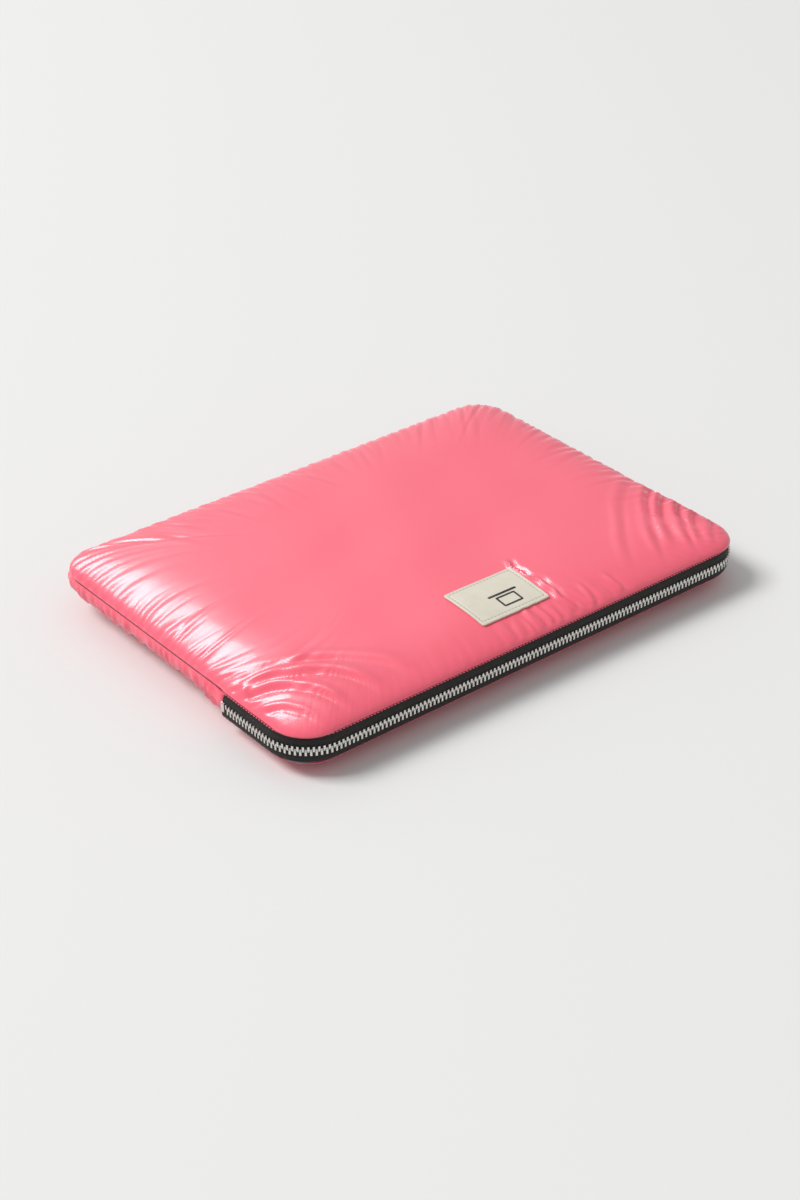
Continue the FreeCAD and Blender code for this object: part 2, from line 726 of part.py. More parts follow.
# The pull tab lies flat along the zip, pointing forwards. Its bar turns under the bridge.
pull_tab = slider_piece("pull_tab")
BAR_X = f"({foot} + bar_rise)"
blank = sketch_on(pull_tab, "tab_blank", "YZ_Plane", BAR_X)
outline(
    blank,
    [
        ("-tab_length", "-tab_width / 2"),
        ("0", "-(eye_half + eye_wall)"),
        ("0", "eye_half + eye_wall"),
        ("-tab_length", "tab_width / 2"),
    ],
)
pad(pull_tab, blank, "tab_gauge", both_ways=True)
eye = sketch_on(pull_tab, "tab_eye", "YZ_Plane", BAR_X)
outline(
    eye,
    [
        ("-eye_length", "-eye_half"),
        ("1", "-eye_half"),
        ("1", "eye_half"),
        ("-eye_length", "eye_half"),
    ],
)
doc.recompute()
eye_cut = pull_tab.newObject("PartDesign::Pocket", "tab_eye_cut")
eye_cut.Profile = eye
eye_cut.SideType = "Symmetric"
bind(eye_cut, "Length", "2 * tab_gauge")
eye.Visibility = False
bar = sketch_on(pull_tab, "tab_bar", "XY_Plane")
bar.addGeometry(Part.Circle(Vector(0, 0, 0), Vector(0, 0, 1), 1.0))
at(bar, 0, 3, BAR_X, "0")
number = bar.addConstraint(Sketcher.Constraint("Radius", 0, 1.0))
bind(bar, f"Constraints[{number}]", "bar_radius")
pad(pull_tab, bar, "2 * (eye_half + eye_wall)", both_ways=True)
doc.recompute()
tab_solid = pull_tab.Tip
tail = [
    f"Edge{n}"
    for n, e in enumerate(tab_solid.Shape.Edges, start=1)
    if abs(e.tangentAt(e.FirstParameter).x) > 0.99 and e.CenterOfMass.y < 1 - size("tab_length")
]
tab_corners = pull_tab.newObject("PartDesign::Fillet", "tab_corners")
tab_corners.Base = (tab_solid, tail)
bind(tab_corners, "Radius", "tab_round")

# ---------------------------------------------------------------- leather label
# A stiff leather patch lies on the crown of the jaw's shoulder, sewn round its edge. It rests
# on the facet edge of the shoulder that lies under it.


def shoulder_point(step):
    """Inset from the band's face and height above mid height of one facet edge."""
    turn = math.radians(90 * step / SHOULDER_STEPS)
    across = size("seam_inset") + (size("shoulder") - size("seam_inset")) * (1 - math.cos(turn))
    up = size("seam_rise") + (size("thickness") / 2 - size("seam_rise")) * math.sin(turn)
    return across, up


rest_across, rest_up = shoulder_point(SHOULDER_STEPS - 1)
rest_y = -size("short_side") / 2 + rest_across
tilt = math.radians(size("label_tilt"))
label_y = -size("label_centre")
label_z = size("thickness") / 2 + rest_up + (label_y - rest_y) * math.tan(tilt) + size("cloth_gap")
label_place = Placement(Vector(0, label_y, label_z), Rotation(Vector(1, 0, 0), size("label_tilt")))

label_patch = doc.addObject("PartDesign::Body", "label_patch")
label_patch.Placement = label_place
patch = sketch_on(label_patch, "label_outline", "XY_Plane")
rounded_rectangle(patch, "label_length / 2", "label_width / 2", "small_round")
pad(label_patch, patch, "label_gauge")

thread = doc.addObject("Part::Box", "stitch")
bind(thread, "Length", "stitch_length")
bind(thread, "Width", "stitch_gauge")
bind(thread, "Height", "stitch_gauge / 2")
doc.recompute()


def stitches_round_label():
    """A thread dash at each pitch along the four sides of a rectangle inside the label's edge."""
    half_x = size("label_length") / 2 - size("stitch_inset")
    half_y = size("label_width") / 2 - size("stitch_inset")
    dashes = []
    for half_run, half_off, turn in ((half_x, half_y, 0), (half_y, half_x, 90)):
        count = int(2 * half_run / size("stitch_pitch"))
        for side in (-1, 1):
            for n in range(count):
                run = (n - (count - 1) / 2) * size("stitch_pitch")
                dash = thread.Shape.copy()
                dash.translate(Vector(-size("stitch_length") / 2, -size("stitch_gauge") / 2, 0))
                dash.translate(Vector(run, side * half_off, size("label_gauge")))
                dash.rotate(Vector(0, 0, 0), Vector(0, 0, 1), turn)
                dashes.append(dash)
    return dashes


label_stitching = doc.addObject("Part::Feature", "label_stitching")
label_stitching.Shape = Part.makeCompound(stitches_round_label())
label_stitching.Placement = label_place

# ---------------------------------------------------------------- write one file per sub-part

NODES = [
    bottom_panel,
    bottom_wadding,
    bottom_lining,
    top_panel_rear,
    top_wadding_rear,
    top_lining_rear,
    top_panel_front,
    top_wadding_front,
    top_lining_front,
    rear_seam_binding,
    upper_mouth_binding,
    lower_mouth_binding,
    upper_zip_tape,
    lower_zip_tape,
    upper_zip_teeth,
    lower_zip_teeth,
    bottom_stop,
    upper_top_stop,
    lower_top_stop,
    slider_body,
    slider_bridge,
    pull_tab,
    label_patch,
    label_stitching,
]

doc.recompute()
faults = [f"{o.Label}: {o.State}" for o in doc.Objects if {"Invalid", "Error"} & set(o.State)]
for node in NODES:
    shape = node.Shape
    if shape.isNull() or not shape.isValid() or not shape.Solids:
        faults.append(f"{node.Label}: no valid solid")
if faults:
    raise RuntimeError("; ".join(faults))

os.makedirs(OUT, exist_ok=True)
for old in os.listdir(OUT):
    os.remove(os.path.join(OUT, old))
for node in NODES:
    node.Shape.exportStep(os.path.join(OUT, node.Label + ".step"))
    box = node.Shape.BoundBox
    print(
        f"{node.Label:22s} solids {len(node.Shape.Solids):4d}  volume {node.Shape.Volume:10.1f}"
        f"  x {box.XMin:7.1f} {box.XMax:7.1f}  y {box.YMin:7.1f} {box.YMax:7.1f}"
        f"  z {box.ZMin:6.2f} {box.ZMax:6.2f}"
    )
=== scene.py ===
"""The looks of a padded laptop sleeve: glossy puffed nylon, a metal zip and a leather label."""

import math

import bmesh
import bpy
import numpy as np
from mathutils import Matrix, Vector
from mathutils.bvhtree import BVHTree


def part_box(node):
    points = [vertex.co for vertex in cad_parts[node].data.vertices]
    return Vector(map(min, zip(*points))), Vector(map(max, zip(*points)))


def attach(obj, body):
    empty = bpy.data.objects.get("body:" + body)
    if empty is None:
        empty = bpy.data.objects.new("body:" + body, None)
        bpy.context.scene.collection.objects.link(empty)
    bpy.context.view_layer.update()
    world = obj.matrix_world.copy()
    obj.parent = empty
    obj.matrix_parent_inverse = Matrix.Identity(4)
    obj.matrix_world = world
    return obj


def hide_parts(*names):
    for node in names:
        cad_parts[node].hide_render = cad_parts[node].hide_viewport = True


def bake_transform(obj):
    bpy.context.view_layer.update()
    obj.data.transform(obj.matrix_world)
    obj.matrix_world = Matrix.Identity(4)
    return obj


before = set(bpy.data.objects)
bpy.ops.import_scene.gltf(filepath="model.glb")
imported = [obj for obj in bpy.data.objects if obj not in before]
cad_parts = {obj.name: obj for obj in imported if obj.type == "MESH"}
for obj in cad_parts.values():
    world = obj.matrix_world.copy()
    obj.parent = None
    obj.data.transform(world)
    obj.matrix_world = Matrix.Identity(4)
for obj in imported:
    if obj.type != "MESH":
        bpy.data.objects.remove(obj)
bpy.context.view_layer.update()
MM = 0.001

# --------------------------------------------------
# Camera, floor and light. The sleeve lies on a plain pale table in a light room. A soft window to
# its left lights every surface, and another behind it shows only in gloss, so that the shadow and
# the broad highlight are set apart from each other.


def unit(azimuth, elevation):
    """The direction from the sleeve towards a viewer, in degrees; azimuth 0 is straight in front."""
    a, e = math.radians(azimuth), math.radians(elevation)
    return Vector((math.sin(a) * math.cos(e), -math.cos(a) * math.cos(e), math.sin(e)))


VIEW_AZIMUTH, VIEW_ELEVATION = -39.3, 32.0
VIEW_DISTANCE = 1432 * MM
VIEW_SHIFT_RIGHT, VIEW_SHIFT_UP = -1 * MM, -26.6 * MM
AIM_HEIGHT = 24.5 * MM
LENS_MM = 69.7

back = unit(VIEW_AZIMUTH, VIEW_ELEVATION)
right = Vector((0, 0, 1)).cross(back).normalized()
up = back.cross(right)
camera_data = bpy.data.cameras.new("camera")
camera_data.lens = LENS_MM
camera = bpy.data.objects.new("camera", camera_data)
bpy.context.scene.collection.objects.link(camera)
aim = Vector((0, 0, AIM_HEIGHT)) + right * VIEW_SHIFT_RIGHT + up * VIEW_SHIFT_UP
camera.location = aim + back * VIEW_DISTANCE
camera.rotation_euler = Matrix((right, up, back)).transposed().to_euler()
bpy.context.scene.camera = camera


def linear(hex_colour):
    """An sRGB hex colour as linear RGBA."""
    levels = [int(hex_colour[n : n + 2], 16) / 255 for n in (1, 3, 5)]
    return tuple(v / 12.92 if v <= 0.04045 else ((v + 0.055) / 1.055) ** 2.4 for v in levels) + (1.0,)


def node(tree, kind, settings=None, **links):
    """Adds a shader node. Settings are its own properties; each link names an input's value or source."""
    made = tree.nodes.new("ShaderNode" + kind)
    for key, value in (settings or {}).items():
        setattr(made, key, value)
    for key, value in links.items():
        socket = made.inputs[int(key[1:]) if key[0] == "i" and key[1:].isdigit() else key.replace("_", " ")]
        if isinstance(value, bpy.types.NodeSocket):
            tree.links.new(value, socket)
        else:
            socket.default_value = value
    return made


def new_material(name):
    """An empty material and its node tree."""
    material = bpy.data.materials.new(name)
    material.use_nodes = True
    material.node_tree.nodes.clear()
    return material, material.node_tree


def painted_table():
    material, tree = new_material("table_matt_white_paint")
    shader = node(tree, "BsdfPrincipled", Base_Color=linear("#dededd"), Roughness=0.85)
    node(tree, "OutputMaterial", Surface=shader.outputs[0])
    return material


FLOOR_SIZE = 60
bpy.ops.object.select_all(action="DESELECT")
bpy.ops.mesh.primitive_plane_add(size=FLOOR_SIZE, location=(0, 0, 0))
floor = bpy.context.object
floor.name = "table"
floor.data.materials.append(painted_table())

WINDOW_DISTANCE, WINDOW_SIZE = 10, 4.2
SHADE_POWER, GLOSS_POWER = 860, 780


def window(name, direction, power, gives_shade):
    """A square soft light that faces the sleeve, either to light surfaces or to show in their gloss."""
    light_data = bpy.data.lights.new(name, "AREA")
    light_data.shape = "SQUARE"
    light_data.size = WINDOW_SIZE
    light_data.energy = power
    light = bpy.data.objects.new(name, light_data)
    bpy.context.scene.collection.objects.link(light)
    toward = Vector(direction).normalized()
    light.location = toward * WINDOW_DISTANCE
    light.rotation_euler = toward.to_track_quat("Z", "Y").to_euler()
    light.visible_glossy = not gives_shade
    light.visible_diffuse = gives_shade


window("window_left", (-0.5, 0.4, 0.77), SHADE_POWER, True)
window("window_behind", (0.1, 0.66, 0.73), GLOSS_POWER, False)

ROOM_STRENGTH = 0.5
world = bpy.data.worlds.new("light_room")
world.use_nodes = True
bpy.context.scene.world = world
world.node_tree.nodes["Background"].inputs["Color"].default_value = linear("#ffffff")
world.node_tree.nodes["Background"].inputs["Strength"].default_value = ROOM_STRENGTH
bpy.context.scene.view_settings.view_transform = "Standard"

# --------------------------------------------------
# Top half. One cut of calendered nylon, glossy on the face, puffed by polyester wadding. Its
# edge is gathered as it is sewn to the upper zip tape and, round the back, to the bottom half,
# so it puckers all along the seam, and it folds where it is led round the front corners.

rear_low, rear_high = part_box("top_panel_rear")
tape_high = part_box("upper_zip_tape")[1]
base_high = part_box("bottom_panel")[1]
label_low, label_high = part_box("label_patch")

HALF_X, HALF_Y = base_high.x, base_high.y
TOP = rear_high.z
TAPE_TOP = tape_high.z
BACK_SEAM = rear_low.z
ZIP_END = round(tape_high.y, 3)
SEAM_INSET = 2.5 * MM
CORNER = 28 * MM
SHOULDER = 48 * MM
EDGE_X, EDGE_Y, EDGE_CORNER = HALF_X - SEAM_INSET, HALF_Y - SEAM_INSET, CORNER - SEAM_INSET
SIDE_RUN, ARC_RUN, FRONT_RUN = EDGE_Y - EDGE_CORNER, EDGE_CORNER * math.pi / 2, EDGE_X - EDGE_CORNER
QUARTER = SIDE_RUN + ARC_RUN + FRONT_RUN
FINE = {"arc": 28, "long": (14, 14), "short": (13, 10)}
COARSE = {"arc": 10, "long": (6, 6), "short": (6, 4)}


def rounded_plate(name, half_x, half_y, corner, z, cuts):
    """A flat face of rounded rectangular outline with its long edges cut up, left in edit mode."""
    if bpy.context.object and bpy.context.object.mode != "OBJECT":
        bpy.ops.object.mode_set(mode="OBJECT")
    bpy.ops.object.select_all(action="DESELECT")
    bpy.ops.mesh.primitive_plane_add(size=2, location=(0, 0, z))
    piece = bpy.context.object
    piece.name = name
    piece.scale = (half_x, half_y, 1)
    bpy.ops.object.transform_apply(location=True, rotation=True, scale=True)
    bpy.ops.object.mode_set(mode="EDIT")
    bpy.ops.mesh.select_all(action="SELECT")
    bpy.ops.mesh.bevel(offset=corner, segments=cuts["arc"], affect="VERTICES")
    bpy.ops.mesh.delete(type="ONLY_FACE")
    bpy.ops.mesh.select_mode(type="EDGE")
    for axis, word, half in ((0, "long", half_x), (1, "short", half_y)):
        for cut in cuts[word]:
            bpy.ops.mesh.select_all(action="DESELECT")
            bpy.ops.object.mode_set(mode="OBJECT")
            for edge in piece.data.edges:
                a, b = (piece.data.vertices[v].co for v in edge.vertices)
                straight = abs(a[1 - axis] - b[1 - axis]) < 0.0001 * MM
                edge.select = straight and abs(a[axis] - b[axis]) > half / 50
            bpy.ops.object.mode_set(mode="EDIT")
            bpy.ops.mesh.subdivide(number_cuts=cut - 1)
    bpy.ops.mesh.select_all(action="SELECT")
    bpy.ops.mesh.edge_face_add()
    bpy.ops.mesh.select_mode(type="FACE")
    return piece


def ringed(start_x, start_y, start_z, stations):
    """Extrudes the selected face ring by ring; each station is an inset from the edge and a height."""
    was_x, was_y, was_z = start_x, start_y, start_z
    for across, height in stations:
        now_x, now_y = EDGE_X - across, EDGE_Y - across
        bpy.ops.mesh.extrude_region_move(TRANSFORM_OT_translate={"value": (0, 0, height - was_z)})
        bpy.ops.transform.resize(
            value=(now_x / was_x, now_y / was_y, 1), center_override=(0, 0, height)
        )
        was_x, was_y, was_z = now_x, now_y, height


def grid_middle(piece, cuts):
    """Turns the selected many-sided face into a grid that starts in the middle of a corner's arc."""
    mesh = bmesh.from_edit_mesh(piece.data)
    rim = {v.index for v in mesh.verts if v.select}
    bpy.ops.mesh.delete(type="ONLY_FACE")
    bpy.ops.mesh.select_mode(type="EDGE")
    mesh = bmesh.from_edit_mesh(piece.data)
    for edge in mesh.edges:
        edge.select_set(edge.verts[0].index in rim and edge.verts[1].index in rim)
    mesh.select_history.clear()
    mesh.select_history.add(max((v for v in mesh.verts if v.select), key=lambda v: -v.co.x - v.co.y))
    bmesh.update_edit_mesh(piece.data)
    bpy.ops.mesh.fill_grid(span=cuts["arc"] + cuts["long"][0] * cuts["long"][1], offset=0)


def open_underside(piece):
    """Removes the many-sided face that the rings began from; the piece stays in edit mode."""
    bpy.ops.mesh.select_mode(type="FACE")
    bpy.ops.mesh.select_all(action="DESELECT")
    bpy.ops.mesh.select_face_by_sides(number=4, type="GREATER")
    bpy.ops.mesh.delete(type="ONLY_FACE")
    bpy.ops.mesh.select_all(action="SELECT")
    bpy.ops.mesh.normals_make_consistent(inside=False)


def points_of(piece):
    """Every vertex of a piece as a numpy table."""
    flat = np.empty(len(piece.data.vertices) * 3)
    piece.data.vertices.foreach_get("co", flat)
    return flat.reshape(-1, 3)


def put_points(piece, points):
    """Moves a mesh's points."""
    piece.data.vertices.foreach_set("co", points.ravel())
    piece.data.update()


def normals_of(piece):
    """A mesh's point normals."""
    flat = np.empty(len(piece.data.vertices) * 3)
    piece.data.vertices.foreach_get("normal", flat)
    return flat.reshape(-1, 3)


def smooth(share):
    """Eases from 0 to 1."""
    share = np.clip(share, 0, 1)
    return share * share * (3 - 2 * share)


HALVINGS = 26  # of the doubt about a point's inset, down to a few nanometres


def seam_place(points):
    """For each point, how far in from the seam it lies and how far along the seam, from the right."""
    x, y = np.abs(points[:, 0]), np.abs(points[:, 1])
    near, far = np.full(len(x), -4 * MM), np.full(len(x), EDGE_Y - 1 * MM)
    for _ in range(HALVINGS):
        inset = (near + far) / 2
        u = x * EDGE_X / (EDGE_X - inset) - FRONT_RUN
        v = y * EDGE_Y / (EDGE_Y - inset) - SIDE_RUN
        outside = np.hypot(np.maximum(u, 0), np.maximum(v, 0)) + np.minimum(np.maximum(u, v), 0)
        beyond = outside > EDGE_CORNER
        near, far = np.where(beyond, near, inset), np.where(beyond, inset, far)
    inset = (near + far) / 2
    u = x * EDGE_X / (EDGE_X - inset) - FRONT_RUN
    v = y * EDGE_Y / (EDGE_Y - inset) - SIDE_RUN
    round_corner = EDGE_CORNER * np.arctan2(np.maximum(v, 0), np.maximum(u, 0))
    run = np.where(v < 0, np.clip(v + SIDE_RUN, 0, SIDE_RUN), SIDE_RUN + round_corner)
    run = np.where(u < 0, SIDE_RUN + ARC_RUN - np.maximum(u, -FRONT_RUN), run)
    left, front = points[:, 0] < 0, points[:, 1] < 0
    run = np.where(left & ~front, 2 * QUARTER - run, run)
    run = np.where(left & front, 2 * QUARTER + run, run)
    run = np.where(~left & front, 4 * QUARTER - run, run)
    return inset, run


def around(run, place):
    """Signed distance along the seam from a place, the short way round."""
    return (run - place + 2 * QUARTER) % (4 * QUARTER) - 2 * QUARTER


# How the creases lean, at places in quarters of the seam from the middle of the right side.
DRAWN = (
    [1.5, 1.6, 1.85, 2.0, 2.08, 2.2, 2.36, 2.45, 3.5, 3.6, 3.8, 3.95],
    [0, -1.3, -1.0, -0.2, 0.5, 1.6, 2.2, 0, 0, -1.4, -0.8, 0],
)


def gathers(inset, run, strength, rng, gap, reach, depth, width):
    """Sharp creases that run in from a seam at uneven places, with soft swells between them.

    Behind each front corner they lean to the front, where the spare cloth is drawn, and further
    back on the left they lean to the back.
    """
    relief = np.zeros(len(run))
    place = 0
    while place < 4 * QUARTER:
        how = np.interp(place / QUARTER, *strength)
        drawn = np.interp(place / QUARTER, *DRAWN)
        long = rng.uniform(*reach) * (0.45 + 0.55 * how) * (1 + 0.08 * max(drawn, 0))
        lean, bow = rng.uniform(-0.22, 0.22) + 0.75 * drawn, rng.uniform(-3, 3)
        wide = rng.uniform(*width) * (1 + 0.4 * smooth(inset / long))
        off = around(run, place) - lean * inset - bow * inset**2
        near = np.abs(off) < 8 * wide.max()
        fade = smooth((inset[near] + 1 * MM) / (2 * MM)) * np.exp(-((inset[near] / long) ** 2))
        crease = -np.exp(-np.abs(off[near]) / wide[near])
        swell = 0.55 * np.exp(-(((off[near] - 2.2 * wide[near]) / (1.3 * wide[near])) ** 2))
        relief[near] += rng.uniform(*depth) * how * fade * (crease + swell)
        place += rng.uniform(*gap)
    return relief


def corner_folds(points, side, folds, bent, rng):
    """Rolls of spare cloth led across a front corner: short side, front, depth and width in mm."""
    x, y = side * points[:, 0], points[:, 1]
    relief = np.zeros(len(x))
    for back, along, depth, wide in folds:
        reach_x, reach_y = along * MM, back * MM
        away, ahead = (EDGE_X - x) / reach_x, (y + EDGE_Y) / reach_y
        turn = np.arctan2(ahead, away)
        radius = (np.maximum(away, 0) ** bent + np.maximum(ahead, 0) ** bent) ** (1 / bent)
        wave = rng.uniform(0, 6)
        drift = 0.02 * np.sin(3 * turn + wave) + 0.004 * np.sin(11 * turn + wave)
        off = (radius - 1 - drift) * (reach_x * reach_y) ** 0.5
        start = rng.uniform(0.0, 0.16)
        fade = smooth((turn - start) / 0.45) * smooth((1.54 - turn) / 0.08)
        w = wide * MM
        roll = 0.9 * np.exp(-(((off - 2.6 * w) / (1.5 * w)) ** 2)) - np.exp(-((np.abs(off) / w) ** 1.3))
        relief += depth * MM * fade * roll
    return relief


def label_crease(points, rng):
    """Puckers pulled up where the label is sewn through the padding, on its right and below it."""
    x, y = points[:, 0], points[:, 1]
    line = label_high.x + (2.6 + 1.2 * np.sin((y + 0.07) / (5 * MM)) + 0.8 * np.sin(y / (2.1 * MM))) * MM
    line = line + 0.10 * (label_high.y - y) * (y < label_high.y)
    off = x - line
    along = smooth((y + EDGE_Y) / (6 * MM)) * smooth((label_high.y + 11 * MM - y) / (9 * MM))
    ridge = 1.15 * np.exp(-((off / (1.4 * MM)) ** 2)) - 0.8 * np.exp(-(((off - 3.2 * MM) / (1.6 * MM)) ** 2))
    relief = 1.5 * MM * along * ridge
    for _ in range(13):
        foot, lean, size = rng.uniform(-0.025, 0.08), rng.uniform(-0.3, 0.3), rng.uniform(0.4, 0.85) * MM
        off = x - foot - lean * (y + EDGE_Y)
        fade = smooth((y + EDGE_Y) / (3 * MM)) * smooth((-EDGE_Y + rng.uniform(0.015, 0.024) - y) / (8 * MM))
        ridge, hollow = np.exp(-((off / (1.3 * MM)) ** 2)), np.exp(-np.abs(off - 3 * MM) / (1.5 * MM))
        relief += size * fade * (ridge - 0.7 * hollow)
    return relief


def swells(points, rng, height, lengths):
    """Slow undulation of the wadding under the cloth."""
    relief = np.zeros(len(points))
    for _ in range(9):
        heading, length = rng.uniform(0, math.pi), rng.uniform(*lengths)
        way = points[:, 0] * math.cos(heading) + points[:, 1] * math.sin(heading)
        relief += np.sin(2 * math.pi * way / length + rng.uniform(0, 6)) / 3
    return relief * height


def seam_uv(piece, inset, run):
    """A UV map in metres: along the seam and in from it, for finishes that follow the seam."""
    mesh = piece.data
    corner_vertex = np.empty(len(mesh.loops), dtype=int)
    mesh.loops.foreach_get("vertex_index", corner_vertex)
    starts = np.empty(len(mesh.polygons), dtype=int)
    mesh.polygons.foreach_get("loop_start", starts)
    along = run[corner_vertex]
    face = np.searchsorted(starts, np.arange(len(along)), side="right") - 1
    lowest, highest = np.minimum.reduceat(along, starts), np.maximum.reduceat(along, starts)
    wraps = (highest - lowest > 2 * QUARTER)[face]
    along = np.where(wraps & (along < 2 * QUARTER), along + 4 * QUARTER, along)
    layer = mesh.uv_layers.new(name="seam")
    layer.data.foreach_set("uv", np.stack([along, inset[corner_vertex]], axis=1).ravel())


def shaded_smooth(piece):
    """Shades a mesh smooth, back in object mode."""
    bpy.ops.object.mode_set(mode="OBJECT")
    piece.data.polygons.foreach_set("use_smooth", [True] * len(piece.data.polygons))


def glossy_nylon():
    """Calendered 20 denier nylon: a wet-looking face with a faint square ripstop and fine crinkles.

    The crinkles are 3 mm apart and 20 mm long, strongest at the short sides. The ripstop is 0.5 mm
    apart, coarser than its real 0.1 mm threads, so that it can show.
    """
    material, tree = new_material("nylon_calendered_pink")
    place = node(tree, "TexCoord")
    seam = node(tree, "UVMap", {"uv_map": "seam"})
    drift = node(tree, "TexNoise", Vector=place.outputs["Object"], Scale=14.0, Detail=3.0)
    tint = node(
        tree, "Mix", {"data_type": "RGBA"}, i0=drift.outputs["Fac"], i6=linear("#f25c72"),
        i7=linear("#f36479")
    )
    stretched = node(tree, "Mapping", Vector=seam.outputs[0], Scale=(330, 50, 1))
    crinkle = node(tree, "TexNoise", Vector=stretched.outputs[0], Scale=1.0, Detail=4.0, Roughness=0.6)
    inset = node(tree, "SeparateXYZ", Vector=seam.outputs[0])
    edge = node(
        tree, "MapRange", Value=inset.outputs[1], From_Min=0.004, From_Max=0.034, To_Min=1.0, To_Max=0.0
    )
    plan = node(tree, "SeparateXYZ", Vector=place.outputs["Object"])
    sideways = node(tree, "Math", {"operation": "ABSOLUTE"}, i0=plan.outputs[0])
    end = node(
        tree, "MapRange", Value=sideways.outputs[0], From_Min=0.09, From_Max=0.14, To_Min=0.2,
        To_Max=1.0
    )
    spread = node(tree, "Math", {"operation": "MULTIPLY"}, i0=edge.outputs[0], i1=end.outputs[0])
    crinkled = node(tree, "Math", {"operation": "MULTIPLY"}, i0=crinkle.outputs["Fac"], i1=spread.outputs[0])
    weave_x = node(tree, "TexWave", {"bands_direction": "X"}, Vector=place.outputs["Object"], Scale=620.0)
    weave_y = node(tree, "TexWave", {"bands_direction": "Y"}, Vector=place.outputs["Object"], Scale=620.0)
    weave = node(tree, "Math", {"operation": "ADD"}, i0=weave_x.outputs["Fac"], i1=weave_y.outputs["Fac"])
    soft = node(tree, "TexNoise", Vector=place.outputs["Object"], Scale=55.0, Detail=2.0)
    fold = node(tree, "Bump", Height=crinkled.outputs[0], Strength=1.0, Distance=0.3 * MM)
    sag = node(
        tree, "Bump", Height=soft.outputs["Fac"], Strength=0.5, Distance=0.25 * MM,
        Normal=fold.outputs[0]
    )
    thread = node(
        tree, "Bump", Height=weave.outputs[0], Strength=0.25, Distance=0.01 * MM, Normal=sag.outputs[0]
    )
    shader = node(
        tree, "BsdfPrincipled", Base_Color=tint.outputs["Result"], Roughness=0.4, Normal=thread.outputs[0]
    )
    shader.inputs["Coat Weight"].default_value = 0.5
    shader.inputs["Coat Roughness"].default_value = 0.17
    node(tree, "OutputMaterial", Surface=shader.outputs[0])
    return material


HEM = 3.5 * MM
TOP_RINGS = 30
SHELL_SPAN = SHOULDER - SEAM_INSET
SEED, CROWN = 11, 1.0 * MM
rng = np.random.default_rng(SEED)

hem_z = BACK_SEAM - 0.35 * MM
top_panel = rounded_plate(
    "top_panel", EDGE_X - HEM, EDGE_Y - HEM, EDGE_CORNER - HEM, hem_z, FINE
)
stations = [(0.5 * MM, hem_z), (0, BACK_SEAM)]
for ring in range(1, TOP_RINGS + 1):
    turn = math.pi / 2 * (ring / TOP_RINGS) ** 0.85
    proud = 0.8 * MM * math.sin(min(4.2 * turn, math.pi))
    across = SHELL_SPAN * (1 - math.cos(turn)) - proud
    stations.append((across, BACK_SEAM + (TOP - BACK_SEAM) * math.sin(turn)))
ringed(EDGE_X - HEM, EDGE_Y - HEM, hem_z, stations)
grid_middle(top_panel, FINE)
open_underside(top_panel)
bpy.ops.object.mode_set(mode="OBJECT")

points = points_of(top_panel)
share = np.clip((points[:, 2] - BACK_SEAM) / (TOP - BACK_SEAM), 0, 1)
over_zip = smooth((ZIP_END + 6 * MM - points[:, 1]) / (8 * MM))
hem = points[:, 2] < BACK_SEAM - 0.1 * MM
rim_z = TAPE_TOP - 0.9 * MM
points[:, 2] += np.where(hem, TAPE_TOP + 0.2 * MM - hem_z, (rim_z - BACK_SEAM) * (1 - share)) * over_zip
push = 1.5 * MM * np.exp(-share / 0.3) * over_zip * ~hem
for axis, edge in ((0, EDGE_X), (1, EDGE_Y)):
    points[:, axis] *= 1 + push / edge
inset, run = seam_place(points)
points[:, 2] += CROWN * (1 - (points[:, 0] / EDGE_X) ** 2) * (1 - (points[:, 1] / EDGE_Y) ** 2) * (share > 0)
put_points(top_panel, points)
group = top_panel.vertex_groups.new(name="crown")
for number in np.nonzero(inset > 16 * MM)[0]:
    group.add([int(number)], float(smooth((inset[number] - 16 * MM) / (20 * MM))), "REPLACE")
ease = top_panel.modifiers.new("ease", "SMOOTH")
ease.factor, ease.iterations, ease.vertex_group = 0.5, 60, "crown"
bpy.context.view_layer.objects.active = top_panel
bpy.ops.object.modifier_apply(modifier="ease")
top_panel.vertex_groups.clear()
points = points_of(top_panel)
inset, run = seam_place(points)
# How deep and long the creases are, at places counted in the same way as for DRAWN.
LEFT_HEAVY = (
    [0, 0.3, 0.41, 0.5, 1, 1.4, 1.6, 1.7, 2.2, 2.27, 2.32, 2.55, 2.9, 2.96, 3.12, 3.22, 3.3, 3.6, 3.75, 4],
    [0.7, 0.7, 0.9, 0.7, 0.65, 0.7, 0.9, 1, 1, 0.8, 0.05, 0.08, 0.2, 0.7, 0.75, 0.6, 0.3, 0.45, 0.8, 0.7],
)
relief = gathers(
    inset, run, LEFT_HEAVY, rng, (5 * MM, 10 * MM), (16 * MM, 38 * MM), (0.6 * MM, 1.35 * MM),
    (1.2 * MM, 2.5 * MM)
)
relief += gathers(
    inset, run, LEFT_HEAVY, rng, (2.6 * MM, 5 * MM), (5 * MM, 15 * MM), (0.25 * MM, 0.6 * MM),
    (0.8 * MM, 1.3 * MM)
)
LEFT_BENT, RIGHT_BENT = 1.85, 1.35  # 1 is a straight fold across the corner, 2 an ellipse
LEFT_FOLDS = ((32, 18, 1.1, 1.5), (50, 37, 1.9, 2.0), (56, 60, 1.9, 2.3), (62, 86, 1.0, 2.6))
RIGHT_FOLDS = (
    (24, 20, 0.9, 1.5), (38, 30, 1.2, 1.6), (52, 37, 1.5, 1.7), (66, 48, 1.6, 1.9), (78, 60, 1.2, 2.0),
    (92, 86, 0.6, 2.4)
)
relief += corner_folds(points, -1, LEFT_FOLDS, LEFT_BENT, rng) * smooth(inset / (4 * MM))
relief += corner_folds(points, 1, RIGHT_FOLDS, RIGHT_BENT, rng) * smooth(inset / (4 * MM))
relief += label_crease(points, rng)
